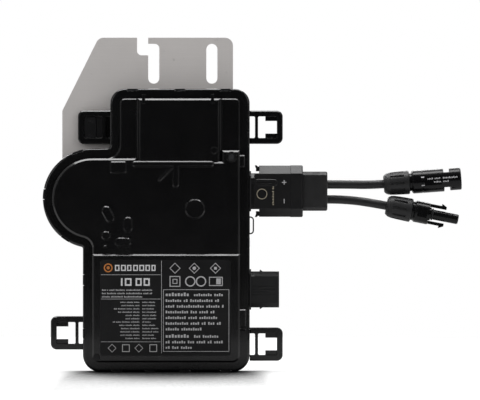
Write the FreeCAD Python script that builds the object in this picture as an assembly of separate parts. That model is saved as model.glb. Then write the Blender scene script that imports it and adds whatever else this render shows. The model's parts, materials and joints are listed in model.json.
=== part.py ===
"""A micro inverter for one solar panel: a potted case on a steel bracket, with its DC adapter and leads.

Millimetres. +X runs to the connector side, +Y to the bracket side and +Z up. The origin is the middle of the
edge that the case stands on. Each function makes one piece, and main() writes parts/NODE.step for each.
"""
import FreeCAD, Part
import math
import os

# ---- Case: overall sizes ----
CASE_WIDTH = 125.0
CASE_HEIGHT = 212.0
CASE_DEPTH = 30.2
BULGE_RADIUS = 37.3         # the round swelling on the left side
BULGE_OVERHANG = 30.0       # how far the swelling stands out past the left side
BULGE_DROP = 82.1           # from the top down to its centre
SHOULDER = 20.5             # the part above the swelling is this much narrower
TOP_CORNER = 11.0
FOOT_CORNER = 13.0
NECK_CORNER = 3.0           # inside corner above the swelling
ARMPIT_CORNER = 1.5         # inside corner below it
RIM_WIDTH = 7.5             # flat rim round the raised front
RIM_SETBACK = 8.1           # from the front of the case to the rim
RIM_ROUND = 1.8
WALL = 2.2
RIM_WALL = 3.2
COVER_THICKNESS = 3.0
COVER_CHAMFER = 0.8
OVERLAP = 0.5               # how far joined features run into each other

# ---- Case: levels of the raised front, set back from its foremost face ----
MID_SETBACK = 1.2
PANEL_SETBACK = 2.1
VALLEY_SETBACK = 6.4
EDGE = 1.3                  # chamfer along the raised levels
SMALL_EDGE = 0.8            # chamfer on ridges and bosses
LABEL_LEVEL_TOP = 88.4      # height at which the label's level begins
PANEL_DROP = 54.2           # from the top down to the upper panel's lower end
PANEL_LEFT_GAP = 19.6       # from the shoulder to the panel
PANEL_RIGHT_GAP = 20.7      # from the right side to the panel
PANEL_ROUND = 4.0
LEDGE_RISE = 7.9            # how far the middle level reaches up beside the panel

# ---- Case: ridges, bosses and ribs on the front ----
RIDGE_HEIGHT = 1.2
RIDGE_WIDTH = 4.4
RIDGE_LEFT_LEAD = 3.0       # the long ridge starts this far left of the panel
RIDGE_RIGHT_STOP = 6.0      # and stops this far before the panel's right side
STEM_SHIFT = 2.0            # short ridge below it, right of its middle
STEM_LENGTH = 20.0
STEM_WIDTH = 5.0
BRANCH_LENGTH = 15.0        # slanting ridge beside the stem
BRANCH_WIDTH = 2.6
BRANCH_ANGLE = 44.0
BRANCH_SHIFT = 7.4
BOSS_HEIGHT = 1.1
# Each boss: from the left side, up from the bulge's centre, length, width, turn in degrees.
FRONT_BOSSES = [
    (84.1, -7.9, 15.0, 14.8, 0.0), (19.2, -11.8, 13.0, 7.0, -62.0), (34.0, -19.6, 11.5, 7.0, 90.0),
    (17.7, -27.8, 7.2, 7.0, 0.0), (30.3, -32.8, 12.4, 7.2, 0.0), (17.0, -35.7, 2.4, 2.2, 0.0),
]
PAD_WIDTH = 12.5            # low pad beside the panel's lower left corner
PAD_HEIGHT = 9.0
SIDE_RIB = 2.4              # small ribs that cross a level's edge
SIDE_RIB_PLACE = 45.0       # from the left side to the one above the label
TOP_RIB_LEFT = 5.6          # from the panel's left side to the first one at the top
TOP_RIB_RIGHT = 7.1
CATCH_TOP = 47.0            # small catch on the rim, beside the label
CATCH_BOTTOM = 31.0
CATCH_RIGHT_GAP = 2.8
CATCH_WIDTH = 6.2
CATCH_RISE = 3.6
LIGHT_RIGHT_GAP = 13.6      # from the right side to the status light
LIGHT_RISE = 3.2            # above the panel's lower end
LIGHT_BOSS_RADIUS = 3.9
LIGHT_RADIUS = 2.7
MARK_RADIUS = 2.5           # round recess at the panel's lower right
VENT_RADIUS = 2.6
VENT_DEPTH = 1.4
VENT_PLACE = (10.9, 11.4)   # from the left side and the foot
LOOP_DROP = 25.6            # eye on the right side, below the DC port
LOOP_HEIGHT = 13.4
LOOP_REACH = 3.2
LOOP_WALL = 1.0
LOOP_ROUND = 2.8
LABEL_THICKNESS = 0.25
LABEL_LEFT_GAP = 13.4
LABEL_RIGHT_GAP = 14.2
LABEL_BOTTOM = 12.4
LABEL_TOP_GAP = 4.6
BACK_LABEL_WIDTH = 56.0
BACK_LABEL_HEIGHT = 28.0

# ---- Snap tabs of the rear cover ----
TAB_WIDTH = 7.4
TAB_THICKNESS = 1.4
TAB_GAP = 0.5
TAB_START = 0.9             # from the rim's front face

# ---- Seals and electronics ----
GASKET_WIDTH = 1.6
GASKET_HEIGHT = 2.0
LIP_WIDTH = 1.6
POTTING_GAP = 3.5           # air between the potting and the cover
BOARD_THICKNESS = 1.6
BOARD_MARGIN = 1.5
TRANSFORMER_RADIUS = 19.0
TRANSFORMER_HEIGHT = 12.5
TRANSFORMER_WALL = 3.0
TRANSFORMER_POST = 7.5
CAPACITOR_RADIUS = 6.3
CAPACITOR_HEIGHT = 12.5
CAPACITOR_PITCH = 15.0
CHOKE_RADIUS = 10.8
CHOKE_HOLE = 6.4
CHOKE_HEIGHT = 7.4
CHOKE_WIRE = 1.2
TRANSISTOR_SIZE = (10.0, 2.4, 9.0)
SPREADER_THICKNESS = 1.5
VARISTOR_RADIUS = 6.5

# ---- Bracket ----
PLATE_THICKNESS = 1.6
PLATE_RISE = 39.3           # above the case
PLATE_RIGHT_GAP = 12.6      # from the case's right side
PLATE_LEFT_REACH = 16.5     # past the case's left side
PLATE_SLOPE_GAP = 9.5       # from the shoulder to where the slanting edge meets the top
PLATE_SLOPE_DROP = 15.9     # from the case's top down to where it meets the left edge
PLATE_FOOT = 17.9           # below the bulge's centre
PLATE_CORNER = 6.0
SLOT_WIDTH = 8.4
SLOT_LENGTH = 30.1
SLOT_RISE = 4.6             # above the case
SLOT_RIGHT_GAP = 15.95      # from the plate's right edge to the closed slot
SLOT_PITCH = 43.9           # between the two slots
HOOK_DEPTH = 13.3           # of the entry from the plate's top edge
HOOK_CORNER = 3.5
SCREW_RADIUS = 1.9
SCREW_HEAD_RADIUS = 3.9
SCREW_HEAD_HEIGHT = 2.4
SCREW_LENGTH = 7.0          # from the plate's rear face into the cover
SCREW_BOSS_RADIUS = 4.4
WASHER_RADIUS = 5.0
WASHER_THICKNESS = 0.8

# ---- Cable ears ----
EAR_LENGTH = 24.9
EAR_HEIGHT = 25.1
EAR_THICKNESS = 6.0
EAR_BAR = 4.4
EAR_SLOT = 4.0
EAR_WEB = 2.4                # closes the slot of the upper left ear
EAR_DIVIDER = 2.3
EAR_LEDGE_START = 11.8
EAR_LEDGE = 3.4
EAR_LEDGE_SETBACK = 2.6
EAR_CORNER = 4.5
EAR_UPPER_DROP = 41.0       # from the top down to an upper ear's lower side
EAR_RIGHT_LOWER_Z = 7.5
EAR_LEFT_LOWER_Z = 16.0
CLIP_GAP = 0.3              # round the plug in the upper left ear

# ---- Bulkhead connectors in the right side ----
PORT_HEIGHT = 27.0
PORT_DEPTH = 16.4
PORT_LENGTH = 22.0
PORT_CHAMFER = 3.6
PORT_WALL = 1.9
PORT_FLANGE = 3.0
PORT_FLANGE_MARGIN = 1.4
DC_DROP = 76.7              # from the top down to the DC port
AC_HEIGHT = 61.6
BARB_START = 7.5
BARB_LENGTH = 2.8
BARB_RISE = 1.2
BARB_WIDTH = 6.0
KEY_RISE = 6.4              # rib along the DC port's front, above its middle
KEY_WIDTH = 2.2
KEY_HEIGHT = 0.9
PIN_RADIUS = 1.5
PIN_LENGTH = 14.5
PIN_TAIL = 9.0
DC_PIN_PITCH = 11.2
AC_PIN_PITCH = 5.4

# ---- DC adapter ----
ADAPTER_GAP = 3.4           # from the case's side to the adapter
ADAPTER_CHEEK = 5.7         # its thickness above and below the port
ADAPTER_FRONT = 3.8         # and in front and behind
ADAPTER_LENGTH = 27.2       # housing up to the collar
ADAPTER_SLOPE = 6.2         # slanting edges along its top and bottom
ADAPTER_FACE_LEAD = 3.7     # the front wall starts this much before the top and bottom walls
COLLAR_LENGTH = 9.2
COLLAR_STEP = 0.4
OVERMOLD_LENGTH = 18.4
OVERMOLD_HEIGHT = 29.4
OVERMOLD_DEPTH = 19.0
OVERMOLD_EDGE = 2.6
SLIDE_CLEARANCE = 0.35
SLEEVE_RADIUS = 2.4
TUNNEL_LENGTH = 17.5        # raised strip over the key
TUNNEL_HEIGHT = 0.6
TUNNEL_WIDTH = 5.2
LATCH_WIDTH = 9.0
LATCH_THICKNESS = 2.6
LATCH_LENGTH = 23.0
LATCH_CLEARANCE = 0.3

# ---- Leads and their connectors ----
CABLE_RADIUS = 3.25
CABLE_CLEARANCE = 0.35
THREAD_CLEARANCE = 0.3
NUT_LENGTH = 19.2
NUT_RADIUS = 8.9
NUT_FACE = 3.0              # thickness of the nut's cable end
NUT_GAP = 1.8               # between the nut and the connector's body
NUT_RIBS = 10
THREAD_RADIUS = 6.6
STUB_WALL = 1.4
RING_LENGTH = 4.6
SEAL_LENGTH = 5.0
CABLE_DEPTH = 14.5          # how far the cable runs into a connector
SOCKET_LENGTH = 58.0
SOCKET_RADIUS = 8.7
WINDOW_START = 45.0
WINDOW_LENGTH = 4.8
TUBE_RADIUS = 3.8
TUBE_CLEARANCE = 0.3
CONTACT_RADIUS = 1.5
PLUG_LENGTH = 54.8
PLUG_RADIUS = 8.2
ARM_SPREAD = 6.7
ARM_THICKNESS = 3.0
ARM_RELIEF = 0.6             # how much thinner an arm is behind its end
ARM_WIDTH = 5.0
ARM_START = 32.5
ARM_LENGTH = 12.2
# Where each cable enters its nut: from the overmold's end, from the port's middle plane, and from
# the DC port's height; then how far the connector tips up, in degrees.
SOCKET_ENTRY = (42.6, 2.0, 5.3)
SOCKET_TILT = 4.1
PLUG_ENTRY = (44.4, -2.0, -10.8)
PLUG_TILT = -10.9
CABLE_PITCH = 11.2          # between the two cables at the overmold
CABLE_SHIFT = -0.5          # of their middle from the port's

# ---- Levels that follow from these sizes ----
LEFT = -CASE_WIDTH / 2
RIGHT = CASE_WIDTH / 2
FRONT = -CASE_DEPTH / 2
BACK = CASE_DEPTH / 2
SEAM = BACK - COVER_THICKNESS
RIM = FRONT + RIM_SETBACK
MID = FRONT + MID_SETBACK
PANEL = FRONT + PANEL_SETBACK
VALLEY = FRONT + VALLEY_SETBACK
SHOULDER_X = LEFT + SHOULDER
BULGE_X = LEFT - BULGE_OVERHANG + BULGE_RADIUS
BULGE_Z = CASE_HEIGHT - BULGE_DROP
PANEL_LEFT = SHOULDER_X + PANEL_LEFT_GAP
PANEL_RIGHT = RIGHT - PANEL_RIGHT_GAP
PANEL_BOTTOM = CASE_HEIGHT - PANEL_DROP
PORT_Y = (RIM + SEAM) / 2
DC_HEIGHT = CASE_HEIGHT - DC_DROP
POTTING_TOP = SEAM - POTTING_GAP
BOARD_FRONT = PORT_Y + PIN_RADIUS
BOARD_BACK = BOARD_FRONT + BOARD_THICKNESS
PLATE_TOP = CASE_HEIGHT + PLATE_RISE
PLATE_RIGHT = RIGHT - PLATE_RIGHT_GAP
PLATE_LEFT = LEFT - PLATE_LEFT_REACH
PLATE_BOTTOM = BULGE_Z - PLATE_FOOT
PLATE_BACK = BACK + PLATE_THICKNESS
SCREW_PLACES = [(SHOULDER_X + 17.0, CASE_HEIGHT - 20.0), (PLATE_RIGHT - 11.9, CASE_HEIGHT - 20.0),
                (PLATE_LEFT + 15.0, BULGE_Z + 6.0), (PLATE_RIGHT - 11.9, BULGE_Z - 2.0)]
EAR_UPPER_Z = CASE_HEIGHT - EAR_UPPER_DROP
EAR_OPENING = EAR_SLOT + EAR_DIVIDER
ADAPTER_HEIGHT = PORT_HEIGHT + 2 * ADAPTER_CHEEK
ADAPTER_DEPTH = PORT_DEPTH + 2 * ADAPTER_FRONT
ADAPTER_START = RIGHT + ADAPTER_GAP
COLLAR_START = ADAPTER_START + ADAPTER_LENGTH
OVERMOLD_START = COLLAR_START + COLLAR_LENGTH
CABLE_START = OVERMOLD_START + OVERMOLD_LENGTH
SEAL_START = NUT_FACE + 2 * THREAD_CLEARANCE + RING_LENGTH
BODY_START = NUT_LENGTH + NUT_GAP
BEYOND = 500.0              # reaches past any piece, for cutting


def vec(x, y, z):
    return FreeCAD.Vector(x, y, z)


def block(x0, x1, y0, y1, z0, z1):
    """A box between two corners."""
    return Part.makeBox(x1 - x0, y1 - y0, z1 - z0, vec(x0, y0, z0))


def cylinder(x, y0, y1, z, radius):
    """A cylinder along Y."""
    return Part.makeCylinder(radius, y1 - y0, vec(x, y0, z), vec(0, 1, 0))


def rod(x0, x1, y, z, radius):
    """A cylinder along X."""
    return Part.makeCylinder(radius, x1 - x0, vec(x0, y, z), vec(1, 0, 0))


def arc_edge(x, z, radius, start, end):
    """An arc in the XZ plane about (x, z), from one angle to another in degrees."""
    def at(angle):
        return vec(x + radius * math.cos(math.radians(angle)), 0, z + radius * math.sin(math.radians(angle)))
    return Part.Arc(at(start), at((start + end) / 2), at(end)).toShape()


def line_edge(x0, z0, x1, z1):
    return Part.makeLine(vec(x0, 0, z0), vec(x1, 0, z1))


def slab(face, y0, y1):
    """A flat XZ face made solid between two depths."""
    moved = face.copy()
    moved.translate(vec(0, y0, 0))
    return moved.extrude(vec(0, y1 - y0, 0))


def polygon(points):
    """A flat face with the given corners."""
    return Part.Face(Part.makePolygon(points + points[:1]))


def rounded(points):
    """A flat XZ face whose corners (x, z, radius) are rounded where they have a radius."""
    edges = []
    last = None
    first = None
    count = len(points)
    for i in range(count):
        x, z, radius = points[i]
        here = vec(x, 0, z)
        before = vec(points[i - 1][0], 0, points[i - 1][1]) - here
        after = vec(points[(i + 1) % count][0], 0, points[(i + 1) % count][1]) - here
        before.normalize()
        after.normalize()
        half = math.acos(before.dot(after)) / 2
        cut = radius / math.tan(half)
        start = here + before * cut
        end = here + after * cut
        if last is not None:
            edges.append(Part.makeLine(last, start))
        if radius:
            middle = before + after
            middle.normalize()
            top = here + middle * (radius / math.sin(half) - radius)
            edges.append(Part.Arc(start, top, end).toShape())
        first = first or start
        last = end
    edges.append(Part.makeLine(last, first))
    return Part.Face(Part.Wire(edges))


def rectangle(x0, x1, z0, z1, radius=0.0):
    return rounded([(x0, z0, radius), (x1, z0, radius), (x1, z1, radius), (x0, z1, radius)])


def obround(x, z, length, width, angle=0.0):
    """A flat XZ face with round ends, long along X before it is turned."""
    r = width / 2
    reach = length / 2 - r
    edges = [line_edge(-reach, -r, reach, -r), arc_edge(reach, 0, r, -90, 90),
             line_edge(reach, r, -reach, r), arc_edge(-reach, 0, r, 90, 270)]
    face = Part.Face(Part.Wire(edges))
    face.rotate(vec(0, 0, 0), vec(0, -1, 0), angle)
    face.translate(vec(x, 0, z))
    return face


def edges_at(shape, y):
    """The edges of a shape that lie wholly in the plane of that depth."""
    return [e for e in shape.Edges if abs(e.BoundBox.YMin - y) < 1e-5 and abs(e.BoundBox.YMax - y) < 1e-5]


def raised(face, y_front, y_back, edge):
    """A flat face made solid, with a chamfer round its front."""
    solid = slab(face, y_front, y_back)
    return solid.makeChamfer(edge, edges_at(solid, y_front))


def joined(shapes):
    """One clean solid from several that touch."""
    whole = shapes[0].fuse(shapes[1:])
    return whole.removeSplitter()


def case_outline(inset):
    """The case's outline as a flat XZ face, moved in by inset."""
    low, high = inset, CASE_HEIGHT - inset
    left, right, shoulder = LEFT + inset, RIGHT - inset, SHOULDER_X + inset
    foot, top = FOOT_CORNER - inset, TOP_CORNER - inset
    neck_x, neck_z = SHOULDER_X - NECK_CORNER, BULGE_Z + BULGE_RADIUS + NECK_CORNER
    pit_x = LEFT - ARMPIT_CORNER
    reach = BULGE_RADIUS + ARMPIT_CORNER
    pit_z = BULGE_Z - math.sqrt(reach ** 2 - (pit_x - BULGE_X) ** 2)
    meet = math.degrees(math.atan2(pit_z - BULGE_Z, pit_x - BULGE_X)) + 360
    neck_r, pit_r, bulge_r = NECK_CORNER + inset, ARMPIT_CORNER + inset, BULGE_RADIUS - inset
    edges = [
        line_edge(left + foot, low, right - foot, low),
        arc_edge(right - foot, low + foot, foot, -90, 0),
        line_edge(right, low + foot, right, high - top),
        arc_edge(right - top, high - top, top, 0, 90),
        line_edge(right - top, high, shoulder + top, high),
        arc_edge(shoulder + top, high - top, top, 90, 180),
        line_edge(shoulder, high - top, shoulder, neck_z),
        arc_edge(neck_x, neck_z, neck_r, 0, -90),
        line_edge(neck_x, neck_z - neck_r, BULGE_X, neck_z - neck_r),
        arc_edge(BULGE_X, BULGE_Z, bulge_r, 90, meet),
        arc_edge(pit_x, pit_z, pit_r, meet - 180, 0),
        line_edge(left, pit_z, left, low + foot),
        arc_edge(left + foot, low + foot, foot, 180, 270),
    ]
    return Part.Face(Part.Wire(edges))


def outline_ring(inset, width, y0, y1):
    """A band that follows the case's outline."""
    return slab(case_outline(inset), y0, y1).cut(slab(case_outline(inset + width), y0, y1))


def below(face, height_left, height_panel, height_right):
    """The part of a face below a stepped line, which changes height at the upper panel's sides."""
    steps = polygon([vec(x, 0, z) for x, z in [
        (-BEYOND, -BEYOND), (BEYOND, -BEYOND), (BEYOND, height_right), (PANEL_RIGHT, height_right),
        (PANEL_RIGHT, height_panel), (PANEL_LEFT, height_panel), (PANEL_LEFT, height_left),
        (-BEYOND, height_left)]])
    return face.common(steps).Faces[0]


def tab_places():
    """Where the snap tabs sit: x, z and the outward direction in degrees."""
    places = [(x, CASE_HEIGHT, 90) for x in (SHOULDER_X + 16.6, (SHOULDER_X + RIGHT) / 2, RIGHT - 18.1)]
    places += [(x, 0.0, -90) for x in (LEFT + 25.5, LEFT + 50.5, RIGHT - 48.5, RIGHT - 18.0)]
    places += [(RIGHT, z, 0) for z in (28.0, DC_HEIGHT - 38.3, CASE_HEIGHT - 28.4)]
    places += [(LEFT, z, 180) for z in (28.5, 68.7)]
    for angle in (107.6, 175.0, 236.0):
        turn = math.radians(angle)
        x = BULGE_X + BULGE_RADIUS * math.cos(turn)
        z = BULGE_Z + BULGE_RADIUS * math.sin(turn)
        places.append((x, z, angle))
    return places


def tab_solids(width, thickness, y0, y1, proud=0.0):
    """The material of the case's edge at each tab, down to a thickness from the outside."""
    edge = outline_ring(-proud, thickness + proud, y0, y1)
    solids = []
    for x, z, angle in tab_places():
        piece = block(-TAB_WIDTH, TAB_WIDTH, y0, y1, -width / 2, width / 2)
        piece.rotate(vec(0, 0, 0), vec(0, -1, 0), angle)
        piece.translate(vec(x, 0, z))
        solids.append(edge.common(piece))
    return solids


def octagon(height, depth, chamfer, x0, x1, z):
    """A block along X about the ports' middle plane, with its four long edges chamfered."""
    half_h, half_d = height / 2, depth / 2
    corners = [(-half_d + chamfer, -half_h), (half_d - chamfer, -half_h), (half_d, -half_h + chamfer),
               (half_d, half_h - chamfer), (half_d - chamfer, half_h), (-half_d + chamfer, half_h),
               (-half_d, half_h - chamfer), (-half_d, -half_h + chamfer)]
    return polygon([vec(x0, PORT_Y + y, z + h) for y, h in corners]).extrude(vec(x1 - x0, 0, 0))


def port_section(grow, x0, x1, z):
    """A port's outer shape, larger all round by grow."""
    return octagon(PORT_HEIGHT + 2 * grow, PORT_DEPTH + 2 * grow, PORT_CHAMFER, x0, x1, z)


def port_hollow(shrink, x0, x1, z):
    """The shape of a port's hollow, smaller all round by shrink."""
    wall = PORT_WALL + shrink
    return octagon(PORT_HEIGHT - 2 * wall, PORT_DEPTH - 2 * wall, PORT_CHAMFER - PORT_WALL / 2, x0, x1, z)


def port_flange(z, clearance=0.0):
    """The part of a port that sits inside the case's wall."""
    height = PORT_HEIGHT + 2 * (PORT_FLANGE_MARGIN + clearance)
    inner = RIGHT - RIM_WALL - PORT_FLANGE - clearance
    return octagon(height, PORT_DEPTH + 2 * clearance, PORT_CHAMFER, inner, RIGHT - RIM_WALL, z)


# ---- The case ----

def front_ridges():
    """The raised bars, pads, bosses and ribs on the front's middle level."""
    top = MID - RIDGE_HEIGHT
    low = MID - BOSS_HEIGHT
    root = MID + OVERLAP
    bar_left, bar_right = PANEL_LEFT - RIDGE_LEFT_LEAD, PANEL_RIGHT - RIDGE_RIGHT_STOP
    bar_z = PANEL_BOTTOM - RIDGE_WIDTH / 2
    middle = (bar_left + bar_right) / 2
    stem_x = middle + STEM_SHIFT
    stem_z = bar_z - (STEM_LENGTH - RIDGE_WIDTH) / 2
    pad_bottom = BULGE_Z + BULGE_RADIUS / 2
    rib_x = LEFT + SIDE_RIB_PLACE
    pieces = [
        raised(obround(middle, bar_z, bar_right - bar_left, RIDGE_WIDTH), top, root, SMALL_EDGE),
        raised(obround(stem_x, stem_z, STEM_LENGTH, STEM_WIDTH, 90), top, root, SMALL_EDGE),
        raised(obround(stem_x - BRANCH_SHIFT, bar_z - BRANCH_SHIFT, BRANCH_LENGTH, BRANCH_WIDTH, BRANCH_ANGLE),
               low, root, SMALL_EDGE),
        raised(rectangle(SHOULDER_X + 0.2, SHOULDER_X + PAD_WIDTH, pad_bottom, pad_bottom + PAD_HEIGHT, 1.5),
               low, root, SMALL_EDGE),
        raised(rectangle(rib_x, rib_x + SIDE_RIB, LABEL_LEVEL_TOP - 3 * EDGE, LABEL_LEVEL_TOP + 7.0, 0.4),
               FRONT, root, SMALL_EDGE),
    ]
    pieces += [raised(obround(LEFT + x, BULGE_Z + z, length, width, turn), low, root, SMALL_EDGE)
               for x, z, length, width, turn in FRONT_BOSSES]
    return pieces


def upper_panel():
    """The raised panel in the upper part of the front, rounded along its two sides and sloped at its top."""
    r = PANEL_ROUND
    high = CASE_HEIGHT - RIM_WIDTH
    low = PANEL_BOTTOM - RIDGE_WIDTH
    root = RIM + OVERLAP
    left, right = PANEL_LEFT, PANEL_RIGHT
    turn = r * (1 - math.sqrt(0.5))
    edges = [
        Part.makeLine(vec(left, root, low), vec(left, PANEL + r, low)),
        Part.Arc(vec(left, PANEL + r, low), vec(left + turn, PANEL + turn, low),
                 vec(left + r, PANEL, low)).toShape(),
        Part.makeLine(vec(left + r, PANEL, low), vec(right - r, PANEL, low)),
        Part.Arc(vec(right - r, PANEL, low), vec(right - turn, PANEL + turn, low),
                 vec(right, PANEL + r, low)).toShape(),
        Part.makeLine(vec(right, PANEL + r, low), vec(right, root, low)),
        Part.makeLine(vec(right, root, low), vec(left, root, low)),
    ]
    panel = Part.Face(Part.Wire(edges)).extrude(vec(0, 0, high - low))
    slope = polygon([vec(-BEYOND, PANEL - 1, high + 1), vec(-BEYOND, PANEL + EDGE + 1, high + 1),
                     vec(-BEYOND, PANEL - 1, high - EDGE - 1)])
    return panel.cut(slope.extrude(vec(2 * BEYOND, 0, 0)))


def light_place():
    """Centre of the status light's boss."""
    return RIGHT - LIGHT_RIGHT_GAP, PANEL_BOTTOM + LIGHT_RISE


def case_body():
    """The outside of the front shell as one full solid."""
    rim = slab(case_outline(0), RIM, SEAM)
    rim = rim.makeFillet(RIM_ROUND, edges_at(rim, RIM))
    front = case_outline(RIM_WIDTH)
    root = RIM + OVERLAP
    middle = below(front, BULGE_Z + BULGE_RADIUS - RIM_WIDTH, PANEL_BOTTOM - OVERLAP,
                   PANEL_BOTTOM + LEDGE_RISE)
    label = below(front, LABEL_LEVEL_TOP, LABEL_LEVEL_TOP, LABEL_LEVEL_TOP)
    light_x, light_z = light_place()
    catch_x = RIGHT - CATCH_RIGHT_GAP
    catch = block(catch_x - CATCH_WIDTH, catch_x, RIM - CATCH_RISE, root, CATCH_BOTTOM, CATCH_TOP)
    notch = block(catch_x - CATCH_WIDTH, catch_x, RIM - CATCH_RISE, RIM, CATCH_BOTTOM + 1.6,
                  CATCH_BOTTOM + 3.6)
    half = SIDE_RIB / 2
    ribs = [block(x - half, x + half, PANEL - BOSS_HEIGHT, root, CASE_HEIGHT - 1.5 * RIM_WIDTH,
                  CASE_HEIGHT - 0.6 * RIM_WIDTH)
            for x in (PANEL_LEFT + TOP_RIB_LEFT, PANEL_RIGHT - TOP_RIB_RIGHT)]
    step = block(RIGHT - 1.1 * RIM_WIDTH, RIGHT - RIM_WIDTH / 2, VALLEY - BOSS_HEIGHT, root,
                 PANEL_BOTTOM - RIDGE_WIDTH, PANEL_BOTTOM + RIDGE_WIDTH)
    return joined([
        rim,
        raised(front, VALLEY, root, EDGE / 2),
        raised(middle, MID, root, EDGE),
        raised(label, FRONT, root, EDGE),
        upper_panel(),
        cylinder(light_x, MID - BOSS_HEIGHT, root, light_z, LIGHT_BOSS_RADIUS),
        step.makeChamfer(EDGE / 2, edges_at(step, VALLEY - BOSS_HEIGHT)),
        catch.makeChamfer(SMALL_EDGE, edges_at(catch, RIM - CATCH_RISE)).cut(notch),
    ] + ribs + front_ridges())


def cavity():
    """The hollow of the front shell."""
    inset = RIM_WIDTH + WALL
    deep = case_outline(inset)
    level = PANEL_BOTTOM - OVERLAP - WALL
    middle = below(deep, BULGE_Z + BULGE_RADIUS - inset, level, level)
    floor = RIM + WALL
    return joined([
        slab(case_outline(RIM_WALL), floor, SEAM + 1),
        slab(middle, MID + WALL, floor + OVERLAP),
        block(PANEL_LEFT + WALL, PANEL_RIGHT - WALL, PANEL + WALL, floor + OVERLAP, PANEL_BOTTOM + WALL,
              CASE_HEIGHT - inset),
    ])


def tether_loop():
    """The small eye on the right side below the adapter."""
    high = DC_HEIGHT - LOOP_DROP + LOOP_HEIGHT / 2
    low = high - LOOP_HEIGHT
    root, end = RIGHT - OVERLAP, RIGHT + LOOP_REACH
    inner = end - LOOP_WALL
    eye = rounded([(root, low, 0), (end, low, LOOP_ROUND), (end, high, LOOP_ROUND), (root, high, 0)])
    hole = rounded([(RIGHT + 0.1, low + LOOP_WALL, 0), (inner, low + LOOP_WALL, LOOP_ROUND - LOOP_WALL),
                    (inner, high - LOOP_WALL, LOOP_ROUND - LOOP_WALL), (RIGHT + 0.1, high - LOOP_WALL, 0)])
    return slab(eye, RIM + WALL, RIM + WALL + 3.5).cut(slab(hole, RIM, RIM + 2 * WALL + 3.5))


def label_area():
    """Where the rating label sits on the front."""
    return rectangle(LEFT + LABEL_LEFT_GAP, RIGHT - LABEL_RIGHT_GAP, LABEL_BOTTOM,
                     LABEL_LEVEL_TOP - LABEL_TOP_GAP, 2.5)


def front_shell():
    light_x, light_z = light_place()
    openings = [
        slab(label_area(), FRONT - 1, FRONT + LABEL_THICKNESS),
        cylinder(light_x, FRONT - 1, RIM + WALL + 1, light_z, LIGHT_RADIUS),
        cylinder(LEFT + VENT_PLACE[0], FRONT - 1, FRONT + VENT_DEPTH, VENT_PLACE[1], VENT_RADIUS),
        cylinder(PANEL_RIGHT - RIDGE_RIGHT_STOP, PANEL - 1, PANEL + 0.3, PANEL_BOTTOM + LEDGE_RISE,
                 MARK_RADIUS),
    ]
    for z in (DC_HEIGHT, AC_HEIGHT):
        openings += [port_section(0, RIGHT - RIM_WALL - 1, RIGHT + 1, z), port_flange(z)]
    notches = tab_solids(TAB_WIDTH + 2 * TAB_GAP, TAB_THICKNESS + 0.2, RIM - 1, SEAM + 1, 1.0)
    shell = case_body().cut(cavity()).cut(openings).cut(notches)
    return shell.fuse(tether_loop()).removeSplitter()


def rear_cover():
    """The cover, with its locating lip, screw bosses, snap tabs and a ribbed recess on its back."""
    plate = slab(case_outline(0), SEAM, BACK)
    plate = plate.makeChamfer(COVER_CHAMFER, edges_at(plate, BACK))
    lip = outline_ring(RIM_WALL + GASKET_WIDTH, LIP_WIDTH, SEAM - GASKET_HEIGHT, SEAM)
    lip = lip.cut([port_flange(z, SLIDE_CLEARANCE) for z in (DC_HEIGHT, AC_HEIGHT)])
    tabs = tab_solids(TAB_WIDTH, TAB_THICKNESS, RIM + TAB_START, SEAM)
    bosses = [cylinder(x, POTTING_TOP, SEAM, z, SCREW_BOSS_RADIUS) for x, z in SCREW_PLACES]
    cover = joined([plate, lip] + bosses + tabs)
    low, high = LABEL_LEVEL_TOP * 0.6, PLATE_BOTTOM - 10.0
    pocket = slab(rectangle(LEFT + 14.0, RIGHT - 14.0, low, high, 5.0), BACK - 0.9, BACK + 1)
    pitch = (CASE_WIDTH - 28.0) / 6
    ribs = [block(x - 1.0, x + 1.0, BACK - 1, BACK, low, high) for x in (pitch * i for i in range(-2, 3))]
    holes = [cylinder(x, PLATE_BACK - SCREW_LENGTH - 0.3, BACK + 1, z, SCREW_RADIUS) for x, z in SCREW_PLACES]
    return cover.cut(holes + [pocket.cut(ribs)])


def perimeter_gasket():
    ring = outline_ring(RIM_WALL, GASKET_WIDTH, SEAM - GASKET_HEIGHT, SEAM)
    return ring.cut([port_flange(z, SLIDE_CLEARANCE) for z in (DC_HEIGHT, AC_HEIGHT)])


def cable_ear(side, z, root, web=0.0):
    """One of the four ears. side is 1 on the right, -1 on the left, and root is the case's side there. web is
    what closes its slot at the back."""
    front = BACK - EAR_THICKNESS
    frame = rounded([(0, 0, 0), (EAR_LENGTH, 0, EAR_CORNER), (EAR_LENGTH, EAR_HEIGHT, EAR_CORNER),
                     (0, EAR_HEIGHT, 0)])
    body = raised(frame, front, BACK, SMALL_EDGE)
    low, high = EAR_BAR, EAR_HEIGHT - EAR_BAR
    start, end = EAR_LEDGE_START - OVERLAP, EAR_LENGTH - EAR_BAR
    slot = rounded([(-1, low, 0), (EAR_SLOT, low, 1.0), (EAR_SLOT, high, 1.0), (-1, high, 0)])
    wide = rounded([(EAR_OPENING, low, 1.0), (EAR_LEDGE_START, low, 0), (EAR_LEDGE_START, high, 0),
                    (EAR_OPENING, high, 1.0)])
    narrow = rectangle(start, end, low + EAR_LEDGE, high - EAR_LEDGE)
    recess = rectangle(start, end, low, high, 0.8)
    cuts = [slab(f, front - 1, BACK + 1) for f in (wide, narrow)]
    cuts.append(slab(slot, front - 1, BACK - web if web else BACK + 1))
    cuts.append(slab(recess, front - 1, front + EAR_LEDGE_SETBACK))
    ear = body.cut(cuts)
    if side < 0:
        ear = ear.mirror(vec(0, 0, 0), vec(1, 0, 0))
    ear.translate(vec(root, 0, z))
    return ear


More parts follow.
